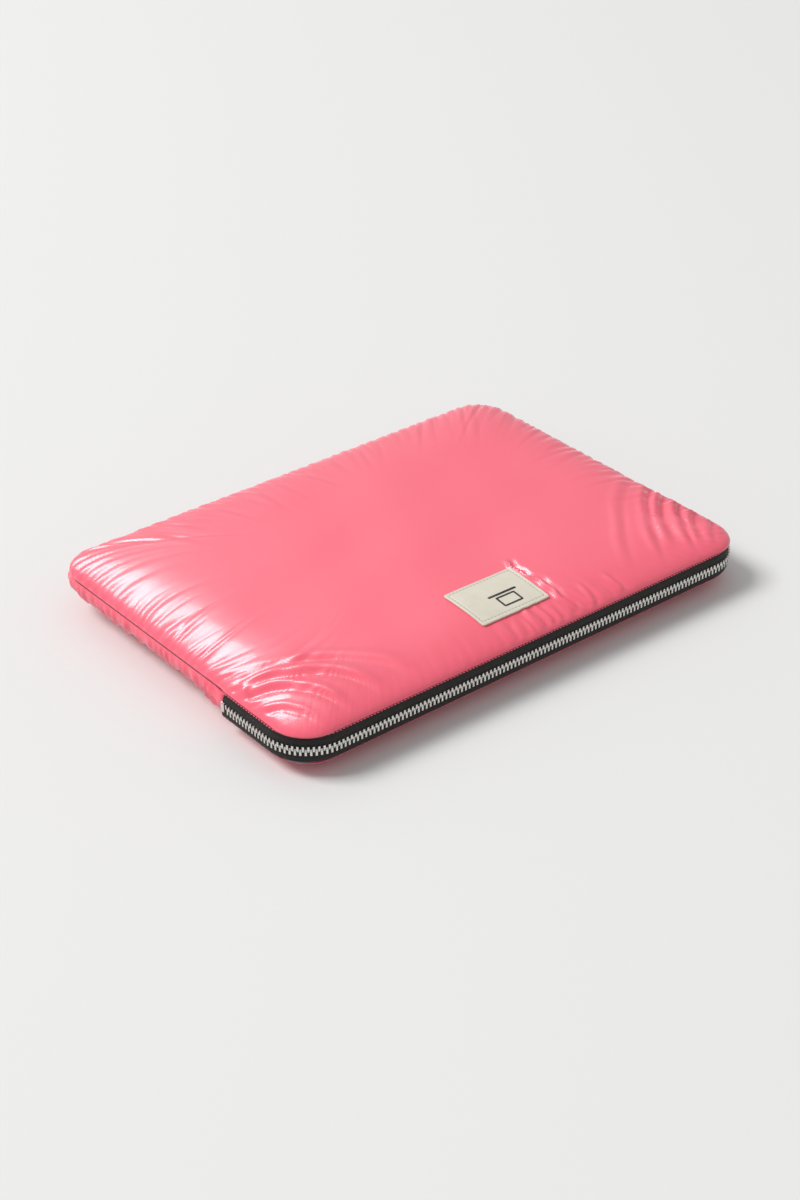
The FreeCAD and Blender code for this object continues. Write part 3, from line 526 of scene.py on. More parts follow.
rise = np.hypot(
    np.maximum(np.abs(points[:, 0]) - label_high.x, 0),
    np.maximum(np.abs(points[:, 1] - (label_low.y + label_high.y) / 2) - (label_high.y - label_low.y) / 2, 0),
)
relief *= smooth(rise / (1.8 * MM))
relief += swells(points, rng, 0.35 * MM, (60 * MM, 130 * MM)) * smooth(inset / (30 * MM))
points = points + normals_of(top_panel) * relief[:, None] * (share > 0)[:, None]
put_points(top_panel, points)
seam_uv(top_panel, inset, run)
shaded_smooth(top_panel)
NYLON = glossy_nylon()
top_panel.data.materials.append(NYLON)
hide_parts("top_panel_rear", "top_panel_front")
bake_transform(top_panel)

# --------------------------------------------------
# Bottom half. The same nylon, puffed less and slung under the back seam, so that little of it
# shows at the sides. It lies flat on the table and puckers at the seam like the top half. Round
# the mouth it stops under the lower zip tape.

TAPE_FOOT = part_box("lower_zip_tape")[0].z
# Insets and heights in mm, from the seam down to the flat underside.
BOTTOM_STATIONS = (
    (0.3, 26.2), (-0.5, 24.9), (-0.9, 23.4), (-1.0, 21.7), (-0.6, 19.9), (0.1, 18.1), (1.1, 16.2),
    (2.3, 14.4), (3.9, 12.8), (6.0, 11.5), (8.5, 10.4), (11.3, 9.3), (14.3, 8.1), (17.4, 6.8),
    (20.6, 5.5), (23.9, 4.2), (27.3, 3.0), (30.8, 2.0), (34.4, 1.1), (38.0, 0.5), (41.5, 0.15), (45.0, 0.0),
)

bottom_shell = rounded_plate(
    "bottom_shell", EDGE_X - HEM, EDGE_Y - HEM, EDGE_CORNER - HEM, BACK_SEAM - 0.5 * MM, FINE
)
stations = [(0.4 * MM, BACK_SEAM - 0.5 * MM)] + [(a * MM, z * MM) for a, z in BOTTOM_STATIONS]
ringed(EDGE_X - HEM, EDGE_Y - HEM, BACK_SEAM - 0.5 * MM, stations)
grid_middle(bottom_shell, FINE)
open_underside(bottom_shell)
bpy.ops.object.mode_set(mode="OBJECT")

points = points_of(bottom_shell)
heights = np.array([z for _, z in BOTTOM_STATIONS]) * MM
slung = np.array([a for a, _ in BOTTOM_STATIONS]) * MM
low = np.interp(points[:, 2], heights[::-1], np.linspace(1, 0, len(heights)))
old = np.interp(low, np.linspace(0, 1, len(heights)), slung)
turn = low * math.pi / 2
full = -2.2 * MM + 47.2 * MM * (1 - np.cos(turn)) ** 1.5 + 2.4 * MM * np.exp(-turn / 0.12)
full_z = heights[0] * (1 - np.sin(turn))
mouth = SHELL_SPAN * (1 - np.cos(turn)) + 0.8 * MM * np.exp(-turn / 0.1)
mouth_z = (TAPE_FOOT + 0.3 * MM) * (1 - np.sin(turn))
under_tape = smooth((ZIP_END + 1.3 * MM - points[:, 1]) / (1.2 * MM))
by_zip = smooth((ZIP_END + 44 * MM - points[:, 1]) / (42 * MM))
new = old + (full - old) * by_zip
new = new + (mouth - new) * under_tape
ringed_part = (points[:, 2] > 0) & (low > 0)
level = points[:, 2] + (full_z - points[:, 2]) * by_zip
level = level + (mouth_z - level) * under_tape
hem_part = low == 0
dip = 2 * MM * smooth((ZIP_END + 12 * MM - points[:, 1]) / (6 * MM)) * (1 - under_tape)
drop = (TAPE_FOOT - BACK_SEAM) * under_tape - dip
points[:, 2] = np.where(ringed_part, level, np.where(hem_part, points[:, 2] + drop, points[:, 2]))
for axis, edge in ((0, EDGE_X), (1, EDGE_Y)):
    points[:, axis] *= np.where(ringed_part, (edge - new) / (edge - old), 1)
put_points(bottom_shell, points)
inset, run = seam_place(points)
UNDER_EVEN = ([0, 1.4, 1.6, 2.1, 2.25, 2.45, 3.55, 3.75, 4], [0.6, 0.6, 0.9, 1, 1, 0.5, 0.4, 0.9, 0.6])
from_rim = inset + 1.6 * MM
relief = gathers(
    from_rim, run, UNDER_EVEN, rng, (4 * MM, 9 * MM), (10 * MM, 26 * MM), (1.0 * MM, 2.1 * MM),
    (1.0 * MM, 1.9 * MM)
)
relief += 2.2 * gathers(
    from_rim, run, UNDER_EVEN, rng, (3 * MM, 6 * MM), (5 * MM, 12 * MM), (0.2 * MM, 0.4 * MM),
    (0.8 * MM, 1.3 * MM)
)
upright = smooth((points[:, 2] - 1 * MM) / (14 * MM))
upright = upright * smooth((BACK_SEAM - 0.9 * MM - points[:, 2]) / (3 * MM) + 0.05)
side_low = smooth((ZIP_END + 34 * MM - points[:, 1]) / (20 * MM))
side_low = side_low * smooth((points[:, 1] - ZIP_END - 1 * MM) / (7 * MM))
fall = (points[:, 2] - 0.55 * (points[:, 1] - ZIP_END)) / MM
relief += side_low * 1.8 * MM * (np.abs(np.sin(fall / 2.6 + 0.7 * np.sin(points[:, 1] / (6 * MM)))) - 0.6)
clear = 1 - under_tape * 0.82
# By the zip's ends nothing stands out, or it would touch the upper tape as the front lifts.
past_zip = smooth((points[:, 1] - ZIP_END - 2 * MM) / (9 * MM))
relief = np.minimum(relief, (0.1 + 2.9 * past_zip) * MM)
points = points + normals_of(bottom_shell) * (relief * upright * clear)[:, None] * (low > 0)[:, None]
points[:, 0] = np.clip(points[:, 0], -HALF_X - 1 * MM, HALF_X + 1 * MM)
points[:, 2] = np.maximum(points[:, 2], 0)
put_points(bottom_shell, points)
seam_uv(bottom_shell, inset, run)
shaded_smooth(bottom_shell)
bottom_shell.data.materials.append(NYLON)
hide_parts("bottom_panel")
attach(bottom_shell, "base")

# --------------------------------------------------
# Linings. A matt woven tray sewn in under the back seam and along the lower tape, and a flat
# sheet over it that lifts with the top half. Both are plain cloth, a little slack.


def woven_lining():
    """Plain-weave polyester lining: dark, matt, with its threads just seen, 0.65 mm apart."""
    material, tree = new_material("lining_polyester_grey_weave")
    place = node(tree, "TexCoord")
    warp = node(
        tree, "TexWave", {"bands_direction": "X"}, Vector=place.outputs["Object"], Scale=480.0,
        Distortion=1.0
    )
    weft = node(
        tree, "TexWave", {"bands_direction": "Y"}, Vector=place.outputs["Object"], Scale=480.0,
        Distortion=1.0
    )
    weave = node(tree, "Math", {"operation": "MULTIPLY"}, i0=warp.outputs["Fac"], i1=weft.outputs["Fac"])
    slub = node(tree, "TexNoise", Vector=place.outputs["Object"], Scale=90.0, Detail=5.0)
    mixed = node(
        tree, "Math", {"operation": "MULTIPLY_ADD"}, i0=weave.outputs[0], i1=0.6, i2=slub.outputs["Fac"]
    )
    tint = node(
        tree, "Mix", {"data_type": "RGBA"}, i0=mixed.outputs[0], i6=linear("#5b5d61"),
        i7=linear("#74767b")
    )
    bump = node(tree, "Bump", Height=mixed.outputs[0], Strength=0.7, Distance=0.1 * MM)
    shader = node(
        tree, "BsdfPrincipled", Base_Color=tint.outputs["Result"], Roughness=0.82,
        Normal=bump.outputs[0]
    )
    shader.inputs["Sheen Weight"].default_value = 0.25
    node(tree, "OutputMaterial", Surface=shader.outputs[0])
    return material


LINING = woven_lining()
FLOOR_Z, LID_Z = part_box("bottom_lining")[0].z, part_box("top_lining_rear")[0].z
LID_IN, TRAY_IN, LINING_GAUGE = 1.2 * MM, 4.5 * MM, 0.3 * MM

inner_lid = rounded_plate(
    "lining_lid", EDGE_X - LID_IN, EDGE_Y - LID_IN, EDGE_CORNER - LID_IN, LID_Z + 0.1 * MM, COARSE
)
ringed(
    EDGE_X - LID_IN, EDGE_Y - LID_IN, LID_Z + 0.1 * MM,
    [(a * MM, LID_Z + 0.1 * MM) for a in (4, 7, 11, 16, 22, 29, 37, 46)]
)
grid_middle(inner_lid, COARSE)
open_underside(inner_lid)
bpy.ops.object.mode_set(mode="OBJECT")
points = points_of(inner_lid)
inset, run = seam_place(points)
points[:, 2] += smooth(inset / (20 * MM)) * (0.5 * MM + swells(points, rng, 0.35 * MM, (18 * MM, 60 * MM)))
put_points(inner_lid, points)
thick = inner_lid.modifiers.new("cloth", "SOLIDIFY")
thick.thickness = LINING_GAUGE
thick.offset = 1
bpy.ops.object.modifier_apply(modifier="cloth")
shaded_smooth(inner_lid)
inner_lid.data.materials.append(LINING)
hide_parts("top_lining_rear", "top_lining_front")
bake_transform(inner_lid)

TRAY_STATIONS = (
    (7.2, 26.4), (7.3, 24.5), (7.5, 22), (7.9, 19.5), (8.6, 17), (9.6, 14.8), (11, 13), (13, 11.7),
    (15.5, 11), (19, 10.8), (24, 10.7), (30, 10.7), (37, 10.7), (45, 10.7),
)
tray = rounded_plate(
    "lining_tray", EDGE_X - TRAY_IN, EDGE_Y - TRAY_IN, 16 * MM, BACK_SEAM - 0.4 * MM, COARSE
)
ringed(
    EDGE_X - TRAY_IN, EDGE_Y - TRAY_IN, BACK_SEAM - 0.4 * MM,
    [(a * MM, z * MM) for a, z in TRAY_STATIONS]
)
grid_middle(tray, COARSE)
open_underside(tray)
bpy.ops.object.mode_set(mode="OBJECT")
points = points_of(tray)
inset, run = seam_place(points)
at_mouth = smooth((ZIP_END - 1 * MM - points[:, 1]) / (6 * MM))
floor_z = FLOOR_Z + 0.3 * MM
points[:, 2] += (floor_z - points[:, 2]) * at_mouth
reach = 1 + at_mouth * (points[:, 2] < BACK_SEAM) * smooth((16 * MM - inset) / (10 * MM)) * 0.026
points[:, :2] *= reach[:, None]
slack = 0.3 * MM + swells(points, rng, 0.3 * MM, (18 * MM, 60 * MM))
points[:, 2] += smooth((inset - 14 * MM) / (25 * MM)) * slack
put_points(tray, points)
thick = tray.modifiers.new("cloth", "SOLIDIFY")
thick.thickness = LINING_GAUGE
thick.offset = 0
bpy.ops.object.modifier_apply(modifier="cloth")
shaded_smooth(tray)
tray.data.materials.append(LINING)
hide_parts("bottom_lining")
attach(tray, "base")

# --------------------------------------------------
# Wadding. Carded polyester batting, a thick sheet in each half between shell and lining. It is
# seen only where a layer is turned back.


def polyester_batting():
    """Carded polyester fibre: off white, with a loose tangle of fibres."""
    material, tree = new_material("wadding_polyester_batting")
    place = node(tree, "TexCoord")
    clump = node(tree, "TexNoise", Vector=place.outputs["Object"], Scale=260.0, Detail=8.0, Roughness=0.7)
    tint = node(
        tree, "Mix", {"data_type": "RGBA"}, i0=clump.outputs["Fac"], i6=linear("#d9d6d0"),
        i7=linear("#f7f6f3")
    )
    bump = node(tree, "Bump", Height=clump.outputs["Fac"], Strength=1.0, Distance=0.6 * MM)
    shader = node(
        tree, "BsdfPrincipled", Base_Color=tint.outputs["Result"], Roughness=0.95,
        Normal=bump.outputs[0]
    )
    shader.inputs["Sheen Weight"].default_value = 0.4
    node(tree, "OutputMaterial", Surface=shader.outputs[0])
    return material


BATTING = polyester_batting()


def batting(name, start, stations):
    """One closed sheet of wadding, made ring by ring from its flat underside to its flat top."""
    reach, height = start
    piece = rounded_plate(name, EDGE_X - reach * MM, EDGE_Y - reach * MM, 14 * MM, height * MM, COARSE)
    ringed(EDGE_X - reach * MM, EDGE_Y - reach * MM, height * MM, [(a * MM, z * MM) for a, z in stations])
    grid_middle(piece, COARSE)
    bpy.ops.mesh.select_mode(type="FACE")
    bpy.ops.mesh.select_all(action="DESELECT")
    bpy.ops.mesh.select_face_by_sides(number=4, type="GREATER")
    grid_middle(piece, COARSE)
    bpy.ops.mesh.select_all(action="SELECT")
    bpy.ops.mesh.normals_make_consistent(inside=False)
    bpy.ops.object.mode_set(mode="OBJECT")
    shape = points_of(piece)
    return piece, shape


def finished_batting(piece, shape, nodes):
    """Gives a batting its shape and look, and hides the CAD parts that it replaces."""
    put_points(piece, shape)
    shaded_smooth(piece)
    piece.data.materials.append(BATTING)
    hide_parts(*nodes)


# Insets and heights in mm, in the order in which the rings are made.
TOP_BATTING = (
    (9, 28.4), (8.2, 29.2), (8.6, 30.4), (10.5, 31.8), (14, 33.0), (19, 34.1), (26, 35.0), (34, 35.6),
    (44, 35.9), (60, 36),
)
upper_batting, shape = batting("batting_top", (11, 28.3), TOP_BATTING)
finished_batting(upper_batting, shape, ("top_wadding_rear", "top_wadding_front"))
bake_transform(upper_batting)

LOW_BATTING = (
    (43, 2.2), (38, 3.0), (33, 4.2), (28, 5.9), (23, 7.6), (18, 9.2), (13, 10.9), (9, 12.4), (6, 14),
    (4.4, 16.4), (3.4, 19.4),
    (3.0, 22.4), (3.6, 24.6), (5.0, 25.2), (6.0, 24.4), (6.5, 20), (7.2, 16.6), (8.6, 14.4),
    (10.6, 12.7), (13.6, 11.2), (19, 10.2), (27, 9.8), (40, 9.8),
)
lower_batting, shape = batting("batting_bottom", (48, 1.7), LOW_BATTING)
at_mouth = smooth((ZIP_END + 6 * MM - shape[:, 1]) / (6 * MM))
shape[:, 2] += (np.minimum(shape[:, 2], 1.5 * MM + 0.32 * shape[:, 2]) - shape[:, 2]) * at_mouth
shape[:, :2] *= (1 - 0.03 * at_mouth * (shape[:, 2] > 4 * MM))[:, None]
finished_batting(lower_batting, shape, ("bottom_wadding",))
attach(lower_batting, "base")

# --------------------------------------------------
# Leather label. Cream calf split, 1.3 mm thick, with rounded painted edges, stitched down near
# its edge so that it follows the padding under it, and printed with a plain laptop sign.

LABEL_X = (label_high.x - label_low.x) / 2
LABEL_Y = (label_high.y - label_low.y) / 2
LABEL_MID = (label_high.y + label_low.y) / 2
LABEL_GAUGE = 1.3 * MM
STITCH_IN, STITCH_PITCH, STITCH_LONG = 2.2 * MM, 2.6 * MM, 1.7 * MM
cloth = BVHTree.FromPolygons(
    [v.co.copy() for v in top_panel.data.vertices], [p.vertices[:] for p in top_panel.data.polygons]
)


def cloth_z(x, y):
    """Height of the top panel under a point."""
    return cloth.ray_cast(Vector((x, y, 0.1)), Vector((0, 0, -1)))[0].z


def laid_on_cloth(piece, lift):
    """Bends a flat piece onto the top panel, keeping each point's own height above the lift."""
    for vertex in piece.data.vertices:
        vertex.co.z += cloth_z(vertex.co.x, vertex.co.y) + lift


def cream_leather():
    """Cream leather: fine pebbled grain, slightly yellowed, pressed down along the stitch line."""
    material, tree = new_material("leather_cream_split")
    place = node(tree, "TexCoord")
    parts = node(tree, "SeparateXYZ", Vector=place.outputs["Object"])
    from_x = node(tree, "Math", {"operation": "ABSOLUTE"}, i0=parts.outputs[0])
    centred = node(tree, "Math", {"operation": "SUBTRACT"}, i0=parts.outputs[1], i1=LABEL_MID)
    from_y = node(tree, "Math", {"operation": "ABSOLUTE"}, i0=centred.outputs[0])
    side = node(tree, "Math", {"operation": "SUBTRACT"}, i0=LABEL_X - STITCH_IN, i1=from_x.outputs[0])
    end = node(tree, "Math", {"operation": "SUBTRACT"}, i0=LABEL_Y - STITCH_IN, i1=from_y.outputs[0])
    nearer = node(tree, "Math", {"operation": "MINIMUM"}, i0=side.outputs[0], i1=end.outputs[0])
    gap = node(tree, "Math", {"operation": "ABSOLUTE"}, i0=nearer.outputs[0])
    groove = node(
        tree, "MapRange", {"interpolation_type": "SMOOTHSTEP"},
        Value=gap.outputs[0], From_Min=0.0, From_Max=0.9 * MM
    )
    grain = node(
        tree, "TexVoronoi", {"feature": "DISTANCE_TO_EDGE"}, Vector=place.outputs["Object"],
        Scale=1500.0
    )
    mottle = node(tree, "TexNoise", Vector=place.outputs["Object"], Scale=120.0, Detail=6.0)
    tint = node(
        tree, "Mix", {"data_type": "RGBA"}, i0=mottle.outputs["Fac"], i6=linear("#c9c2b1"),
        i7=linear("#dad4c5")
    )
    pores = node(tree, "Bump", Height=grain.outputs["Distance"], Strength=0.5, Distance=0.05 * MM)
    pressed = node(
        tree, "Bump", Height=groove.outputs[0], Strength=1.0, Distance=0.22 * MM,
        Normal=pores.outputs[0]
    )
    shader = node(
        tree, "BsdfPrincipled", Base_Color=tint.outputs["Result"], Roughness=0.52,
        Normal=pressed.outputs[0]
    )
    node(tree, "OutputMaterial", Surface=shader.outputs[0])
    return material


def plain_finish(name, low, high, roughness, scale, height):
    """A finish of two close tones with a fine noise in both its colour and its relief."""
    material, tree = new_material(name)
    place = node(tree, "TexCoord")
    noise = node(tree, "TexNoise", Vector=place.outputs["Object"], Scale=scale, Detail=5.0)
    tint = node(tree, "Mix", {"data_type": "RGBA"}, i0=noise.outputs["Fac"], i6=linear(low), i7=linear(high))
    bump = node(tree, "Bump", Height=noise.outputs["Fac"], Strength=0.8, Distance=height)
    shader = node(
        tree, "BsdfPrincipled", Base_Color=tint.outputs["Result"], Roughness=roughness,
        Normal=bump.outputs[0]
    )
    node(tree, "OutputMaterial", Surface=shader.outputs[0])
    return material


bpy.ops.object.select_all(action="DESELECT")
bpy.ops.mesh.primitive_grid_add(x_subdivisions=52, y_subdivisions=36, size=2, location=(0, LABEL_MID, 0))
leather = bpy.context.object
leather.name = "leather_label"
leather.scale = (LABEL_X, LABEL_Y, 1)
bpy.ops.object.transform_apply(location=True, rotation=True, scale=True)
for vertex in leather.data.vertices:
    over_x = max(abs(vertex.co.x) - (LABEL_X - 1.5 * MM), 0)
    over_y = max(abs(vertex.co.y - LABEL_MID) - (LABEL_Y - 1.5 * MM), 0)
    if over_x > 0.1 * MM and over_y > 0.1 * MM:
        pull = 1 - 0.25 * min(over_x, over_y) / (1.5 * MM)
        vertex.co.x = math.copysign(LABEL_X - 1.5 * MM + over_x * pull, vertex.co.x)
        vertex.co.y = LABEL_MID + math.copysign(LABEL_Y - 1.5 * MM + over_y * pull, vertex.co.y - LABEL_MID)
laid_on_cloth(leather, 0.08 * MM)
thick = leather.modifiers.new("hide", "SOLIDIFY")
thick.thickness = LABEL_GAUGE
thick.offset = 1
bpy.ops.object.modifier_apply(modifier="hide")
edge = leather.modifiers.new("edge", "BEVEL")
edge.width = 0.35 * MM
edge.segments = 3
edge.limit_method = "ANGLE"
bpy.ops.object.modifier_apply(modifier="edge")
shaded_smooth(leather)
leather.data.materials.append(cream_leather())
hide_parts("label_patch")
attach(leather, "upper_flap")

bpy.ops.object.select_all(action="DESELECT")
bpy.ops.mesh.primitive_uv_sphere_add(segments=8, ring_count=6, radius=0.5, location=(0, 0, 0))
thread = bpy.context.object
thread.name = "label_thread"
bead = points_of(thread) * np.array([STITCH_LONG, 0.42 * MM, 0.3 * MM])
faces = [tuple(p.vertices) for p in thread.data.polygons]
spots = []
for half, across, turned in ((LABEL_X, LABEL_Y, False), (LABEL_Y, LABEL_X, True)):
    half, across = half - STITCH_IN, across - STITCH_IN
    count = round(2 * half / STITCH_PITCH)
    for number in range(count):
        along = -half + (number + 0.5) * 2 * half / count
        for way in (-1, 1):
            spots.append((way * across, along, True) if turned else (along, way * across, False))
all_points, all_faces = [], []
for x, y, turned in spots:
    y = y + LABEL_MID
    ahead = (0, 1) if turned else (1, 0)
    lean = rng.uniform(-0.07, 0.07)
    for px, py, pz in bead:
        u, v = px + lean * py, py - lean * px
        dx, dy = (v, u) if turned else (u, v)
        all_points.append((x + dx, y + dy, cloth_z(x + dx, y + dy) + LABEL_GAUGE + 0.1 * MM + pz))
    start = len(all_points) - len(bead)
    turned_faces = [tuple(start + v for v in (face[::-1] if turned else face)) for face in faces]
    all_faces.extend(turned_faces)
stitched = bpy.data.meshes.new("label_thread")
stitched.from_pydata(all_points, [], all_faces)
thread.data = stitched
shaded_smooth(thread)
# Waxed linen thread, a little darker than the leather.
thread.data.materials.append(plain_finish("thread_waxed_linen", "#a9a18c", "#c9c2ae", 0.6, 900.0, 0.05 * MM))
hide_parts("label_stitching")
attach(thread, "upper_flap")


def printed_bar(name, half_x, half_y, corner, middle, frame_width=0):
    """A rounded printed shape, solid or as a frame, in edit mode with its edges cut small."""
    bpy.ops.object.select_all(action="DESELECT")
    bpy.ops.mesh.primitive_plane_add(size=2, location=(0, 0, 0))
    piece = bpy.context.object
    piece.name = name
    piece.scale = (half_x, half_y, 1)
    piece.location = (middle[0], middle[1], 0)
    bpy.ops.object.transform_apply(location=True, rotation=True, scale=True)
    bpy.ops.object.mode_set(mode="EDIT")
    bpy.ops.mesh.select_all(action="SELECT")
    bpy.ops.mesh.bevel(offset=corner, segments=4, affect="VERTICES")
    bpy.ops.mesh.select_all(action="SELECT")
    if frame_width:
        bpy.ops.mesh.inset(thickness=frame_width)
        bpy.ops.mesh.delete(type="FACE")
        bpy.ops.mesh.select_all(action="SELECT")
    bpy.ops.mesh.subdivide(number_cuts=5)
    bpy.ops.object.mode_set(mode="OBJECT")
    return piece


SIGN_Y = label_low.y + 11 * MM
screen = printed_bar("laptop_sign", 7.4 * MM, 4.8 * MM, 1.1 * MM, (4 * MM, SIGN_Y), 1.4 * MM)
foot = printed_bar("laptop_sign_base", 10.8 * MM, 0.85 * MM, 0.6 * MM, (4 * MM, SIGN_Y + 6.9 * MM))
bpy.ops.object.select_all(action="DESELECT")
foot.select_set(True)
screen.select_set(True)
bpy.context.view_layer.objects.active = screen
bpy.ops.object.join()
laid_on_cloth(screen, LABEL_GAUGE + 0.11 * MM)
ink = screen.modifiers.new("ink", "SOLIDIFY")
ink.thickness = 0.04 * MM
ink.offset = 1
bpy.ops.object.modifier_apply(modifier="ink")
shaded_smooth(screen)
# Black screen ink, half gloss, soaked a little into the grain.
black_ink = plain_finish("ink_black_screen_print", "#161514", "#2a2826", 0.5, 700.0, 0.02 * MM)
screen.data.materials.append(black_ink)
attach(screen, "upper_flap")

# --------------------------------------------------
# Zip and bindings. Woven polyester tape that carries stamped, nickel-plated teeth, and bias
# binding over the raw edges inside. Their shapes are the CAD's; these are their finishes.


def woven_tape(name, low, high, pitch):
    """A black herringbone tape: ribs across a fine weave, with a little lint on its high threads."""
    material, tree = new_material(name)
    place = node(tree, "TexCoord")
    turned = node(tree, "Mapping", Vector=place.outputs["Object"], Rotation=(0, 0, math.radians(45)))
    rib = node(
        tree, "TexWave", {"bands_direction": "X"}, Vector=turned.outputs[0], Scale=0.45 / pitch,
        Distortion=0.6
    )
    row = node(tree, "TexWave", {"bands_direction": "Z"}, Vector=place.outputs["Object"], Scale=0.33 / pitch)
    weave = node(tree, "Math", {"operation": "MULTIPLY"}, i0=rib.outputs["Fac"], i1=row.outputs["Fac"])
    lint = node(tree, "TexNoise", Vector=place.outputs["Object"], Scale=400.0, Detail=6.0)
    height = node(
        tree, "Math", {"operation": "MULTIPLY_ADD"}, i0=lint.outputs["Fac"], i1=0.5, i2=weave.outputs[0]
    )
    tint = node(tree, "Mix", {"data_type": "RGBA"}, i0=height.outputs[0], i6=linear(low), i7=linear(high))
    bump = node(tree, "Bump", Height=height.outputs[0], Strength=0.9, Distance=0.14 * MM)
    shader = node(
        tree, "BsdfPrincipled", Base_Color=tint.outputs["Result"], Roughness=0.78,
        Normal=bump.outputs[0]
    )
    shader.inputs["Sheen Weight"].default_value = 0.05
    node(tree, "OutputMaterial", Surface=shader.outputs[0])
    return material


def nickel():
    """Bright nickel plate over brass: slightly warm, with fine tumbling marks and duller hollows."""
    material, tree = new_material("metal_nickel_plated_brass")
    place = node(tree, "TexCoord")
    marks = node(tree, "TexNoise", Vector=place.outputs["Object"], Scale=900.0, Detail=5.0)
    tint = node(
        tree, "Mix", {"data_type": "RGBA"}, i0=marks.outputs["Fac"], i6=linear("#c9c6c0"),
        i7=linear("#efede9")
    )
    rough = node(tree, "MapRange", Value=marks.outputs["Fac"], To_Min=0.18, To_Max=0.4)
    bump = node(tree, "Bump", Height=marks.outputs["Fac"], Strength=0.5, Distance=0.03 * MM)
    shader = node(
        tree, "BsdfPrincipled", Base_Color=tint.outputs["Result"], Metallic=1.0,
        Roughness=rough.outputs[0], Normal=bump.outputs[0],
    )
    node(tree, "OutputMaterial", Surface=shader.outputs[0])
    return material


def finish(names, material):
    """Puts one material on every slot of the named pieces."""
    for name in names:
        slots = bpy.data.objects[name].material_slots
        for slot in slots:
            slot.material = material
        if not slots:
            bpy.data.objects[name].data.materials.append(material)


finish(
    ("upper_zip_tape", "lower_zip_tape"),
    woven_tape("tape_polyester_black_herringbone", "#0c0a08", "#1f1a17", 0.5 * MM)
)
finish(
    ("rear_seam_binding", "upper_mouth_binding", "lower_mouth_binding"),
    woven_tape("binding_polyester_black_bias", "#191817", "#3a3835", 0.8 * MM),
)
finish(
    (
        "upper_zip_teeth", "lower_zip_teeth", "bottom_stop", "upper_top_stop", "lower_top_stop",
        "slider_body", "slider_bridge", "pull_tab",
    ),
    nickel(),
)


def seam_point(run, inset):
    """The plan place and outward direction at a distance along the seam and in from it."""
    quarter, rest = divmod(run % (4 * QUARTER), QUARTER)
    rest = QUARTER - rest if quarter in (1, 3) else rest
    if rest < SIDE_RUN:
        x, y, out = EDGE_X, rest, (1, 0)
    elif rest < SIDE_RUN + ARC_RUN:
        turn = (rest - SIDE_RUN) / EDGE_CORNER
        out = (math.cos(turn), math.sin(turn))
        x, y = FRONT_RUN + EDGE_CORNER * out[0], SIDE_RUN + EDGE_CORNER * out[1]
    else:
        x, y, out = QUARTER - rest, EDGE_Y, (0, 1)
    way_x, way_y = (-1 if quarter in (1, 2) else 1), (-1 if quarter in (2, 3) else 1)
    return way_x * (x - out[0] * inset), way_y * (y - out[1] * inset), way_x * out[0], way_y * out[1]


# --------------------------------------------------
# Mouth seam. Lockstitches in matching pink polyester thread hold the top panel to its tape. One
# stitch is modelled as a small long bead and copied round the mouth.

LOCKSTITCH, THREAD_PROUD, THREAD_BELOW = 2.4 * MM, 1.75 * MM, 1.15 * MM
bpy.ops.mesh.primitive_uv_sphere_add(segments=8, ring_count=6, radius=0.5, location=(0, 0, 0))
seam_thread = bpy.context.object
seam_thread.name = "mouth_seam_thread"
bead = points_of(seam_thread) * np.array([1.9 * MM, 0.6 * MM, 0.5 * MM])
faces = [tuple(p.vertices) for p in seam_thread.data.polygons]
MOUTH_FROM, MOUTH_TO = 2 * QUARTER - ZIP_END + 1.5 * MM, 4 * QUARTER + ZIP_END - 1.5 * MM
count = round((MOUTH_TO - MOUTH_FROM) / LOCKSTITCH)
all_points, all_faces = [], []
for number in range(count):
    run_to = MOUTH_FROM + (number + 0.5) * (MOUTH_TO - MOUTH_FROM) / count
    x, y, out_x, out_y = seam_point(run_to, -THREAD_PROUD)
    lean = rng.uniform(-0.08, 0.08)
    for px, py, pz in bead:
        v = py + lean * px
        z = TAPE_TOP - THREAD_BELOW + pz
        all_points.append((x - px * out_y + v * out_x, y + px * out_x + v * out_y, z))
    start = number * len(bead)
    all_faces.extend(tuple(start + v for v in face) for face in faces)
sewn = bpy.data.meshes.new("mouth_seam_thread")
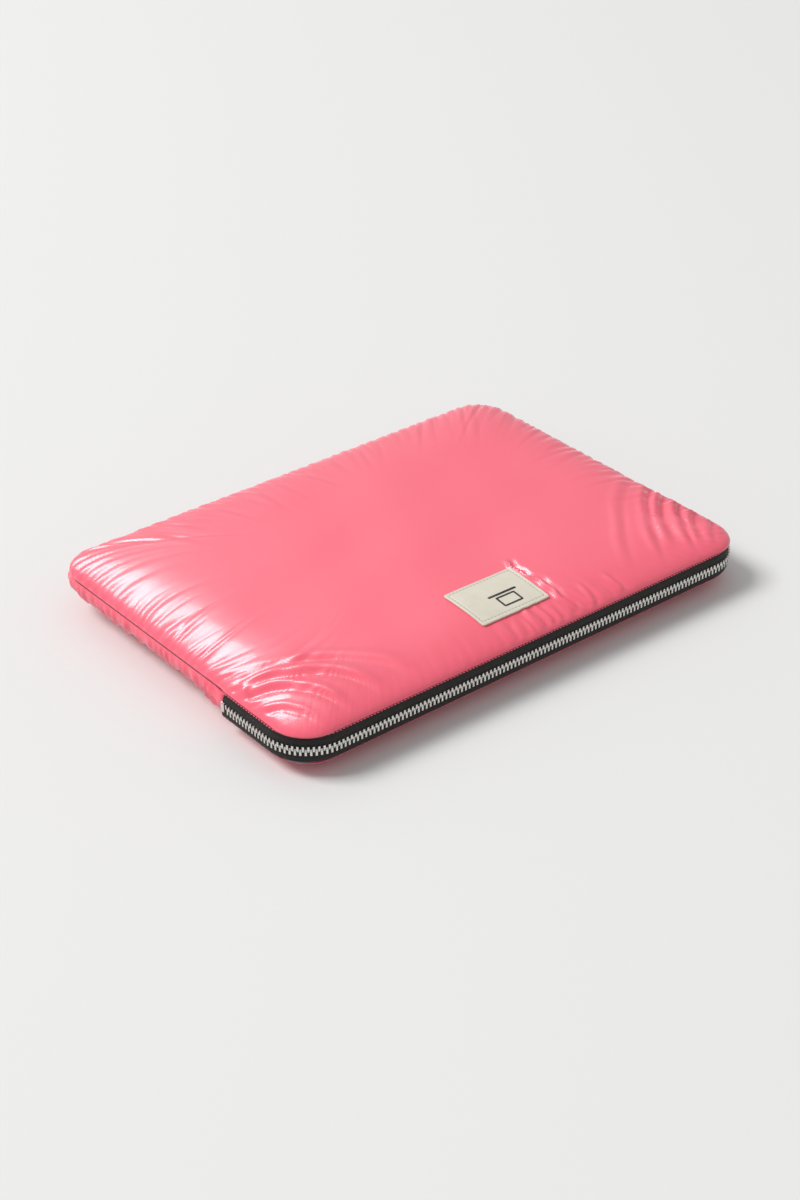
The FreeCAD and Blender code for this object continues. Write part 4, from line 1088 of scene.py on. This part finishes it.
sewn.from_pydata(all_points, [], all_faces)
seam_thread.data = sewn
shaded_smooth(seam_thread)
pink_thread = plain_finish("thread_polyester_pink", "#e0566e", "#f47c90", 0.5, 900.0, 0.05 * MM)
seam_thread.data.materials.append(pink_thread)
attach(seam_thread, "upper_flap")

# --------------------------------------------------
# Back seam. A thin dark line between the two halves: a dark rod that is partly painted shade,
# standing for the shadow in the seam's crease, and partly the folded edge of the binding inside,
# as it is taken to be. Its pink tint is painted light, bounced from the pink cloth beside it. A
# straight rod is extruded step by step and then led round the seam.

SEAM_LINE, LINE_STEP, LINE_IN, LINE_BELOW = 0.34 * MM, 1.2 * MM, 0.25 * MM, 0.42 * MM
line_from, line_to = ZIP_END - 0.5 * MM, 2 * QUARTER - ZIP_END + 0.5 * MM
count = round((line_to - line_from) / LINE_STEP)
bpy.ops.object.select_all(action="DESELECT")
bpy.ops.mesh.primitive_cylinder_add(vertices=6, radius=SEAM_LINE, depth=LINE_STEP, location=(0, 0, 0))
seam_line = bpy.context.object
seam_line.name = "back_seam_edge_and_painted_shade"
bpy.ops.object.mode_set(mode="EDIT")
bpy.ops.mesh.select_all(action="DESELECT")
bpy.ops.object.mode_set(mode="OBJECT")
for face in seam_line.data.polygons:
    face.select = face.normal.z > 0.9
bpy.ops.object.mode_set(mode="EDIT")
for number in range(1, count):
    bpy.ops.mesh.extrude_region_move(TRANSFORM_OT_translate={"value": (0, 0, LINE_STEP)})
bpy.ops.object.mode_set(mode="OBJECT")
points = points_of(seam_line)
along = np.round(points[:, 2] / LINE_STEP + 0.5) / count
for number, (px, py, _) in enumerate(points.copy()):
    x, y, out_x, out_y = seam_point(line_from + along[number] * (line_to - line_from), LINE_IN)
    points[number] = x + px * out_x, y + px * out_y, BACK_SEAM - LINE_BELOW + py
put_points(seam_line, points)
bpy.ops.object.mode_set(mode="EDIT")
bpy.ops.mesh.select_all(action="SELECT")
bpy.ops.mesh.normals_make_consistent(inside=False)
shaded_smooth(seam_line)
# Dark pink-brown: painted shade of the seam's crease over the binding's black, with painted pink light
# bounced from the cloth.
seam_line.data.materials.append(woven_tape("seam_edge_bias_with_painted_shade", "#2a1a1c", "#4a3034", 0.8 * MM))
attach(seam_line, "base")
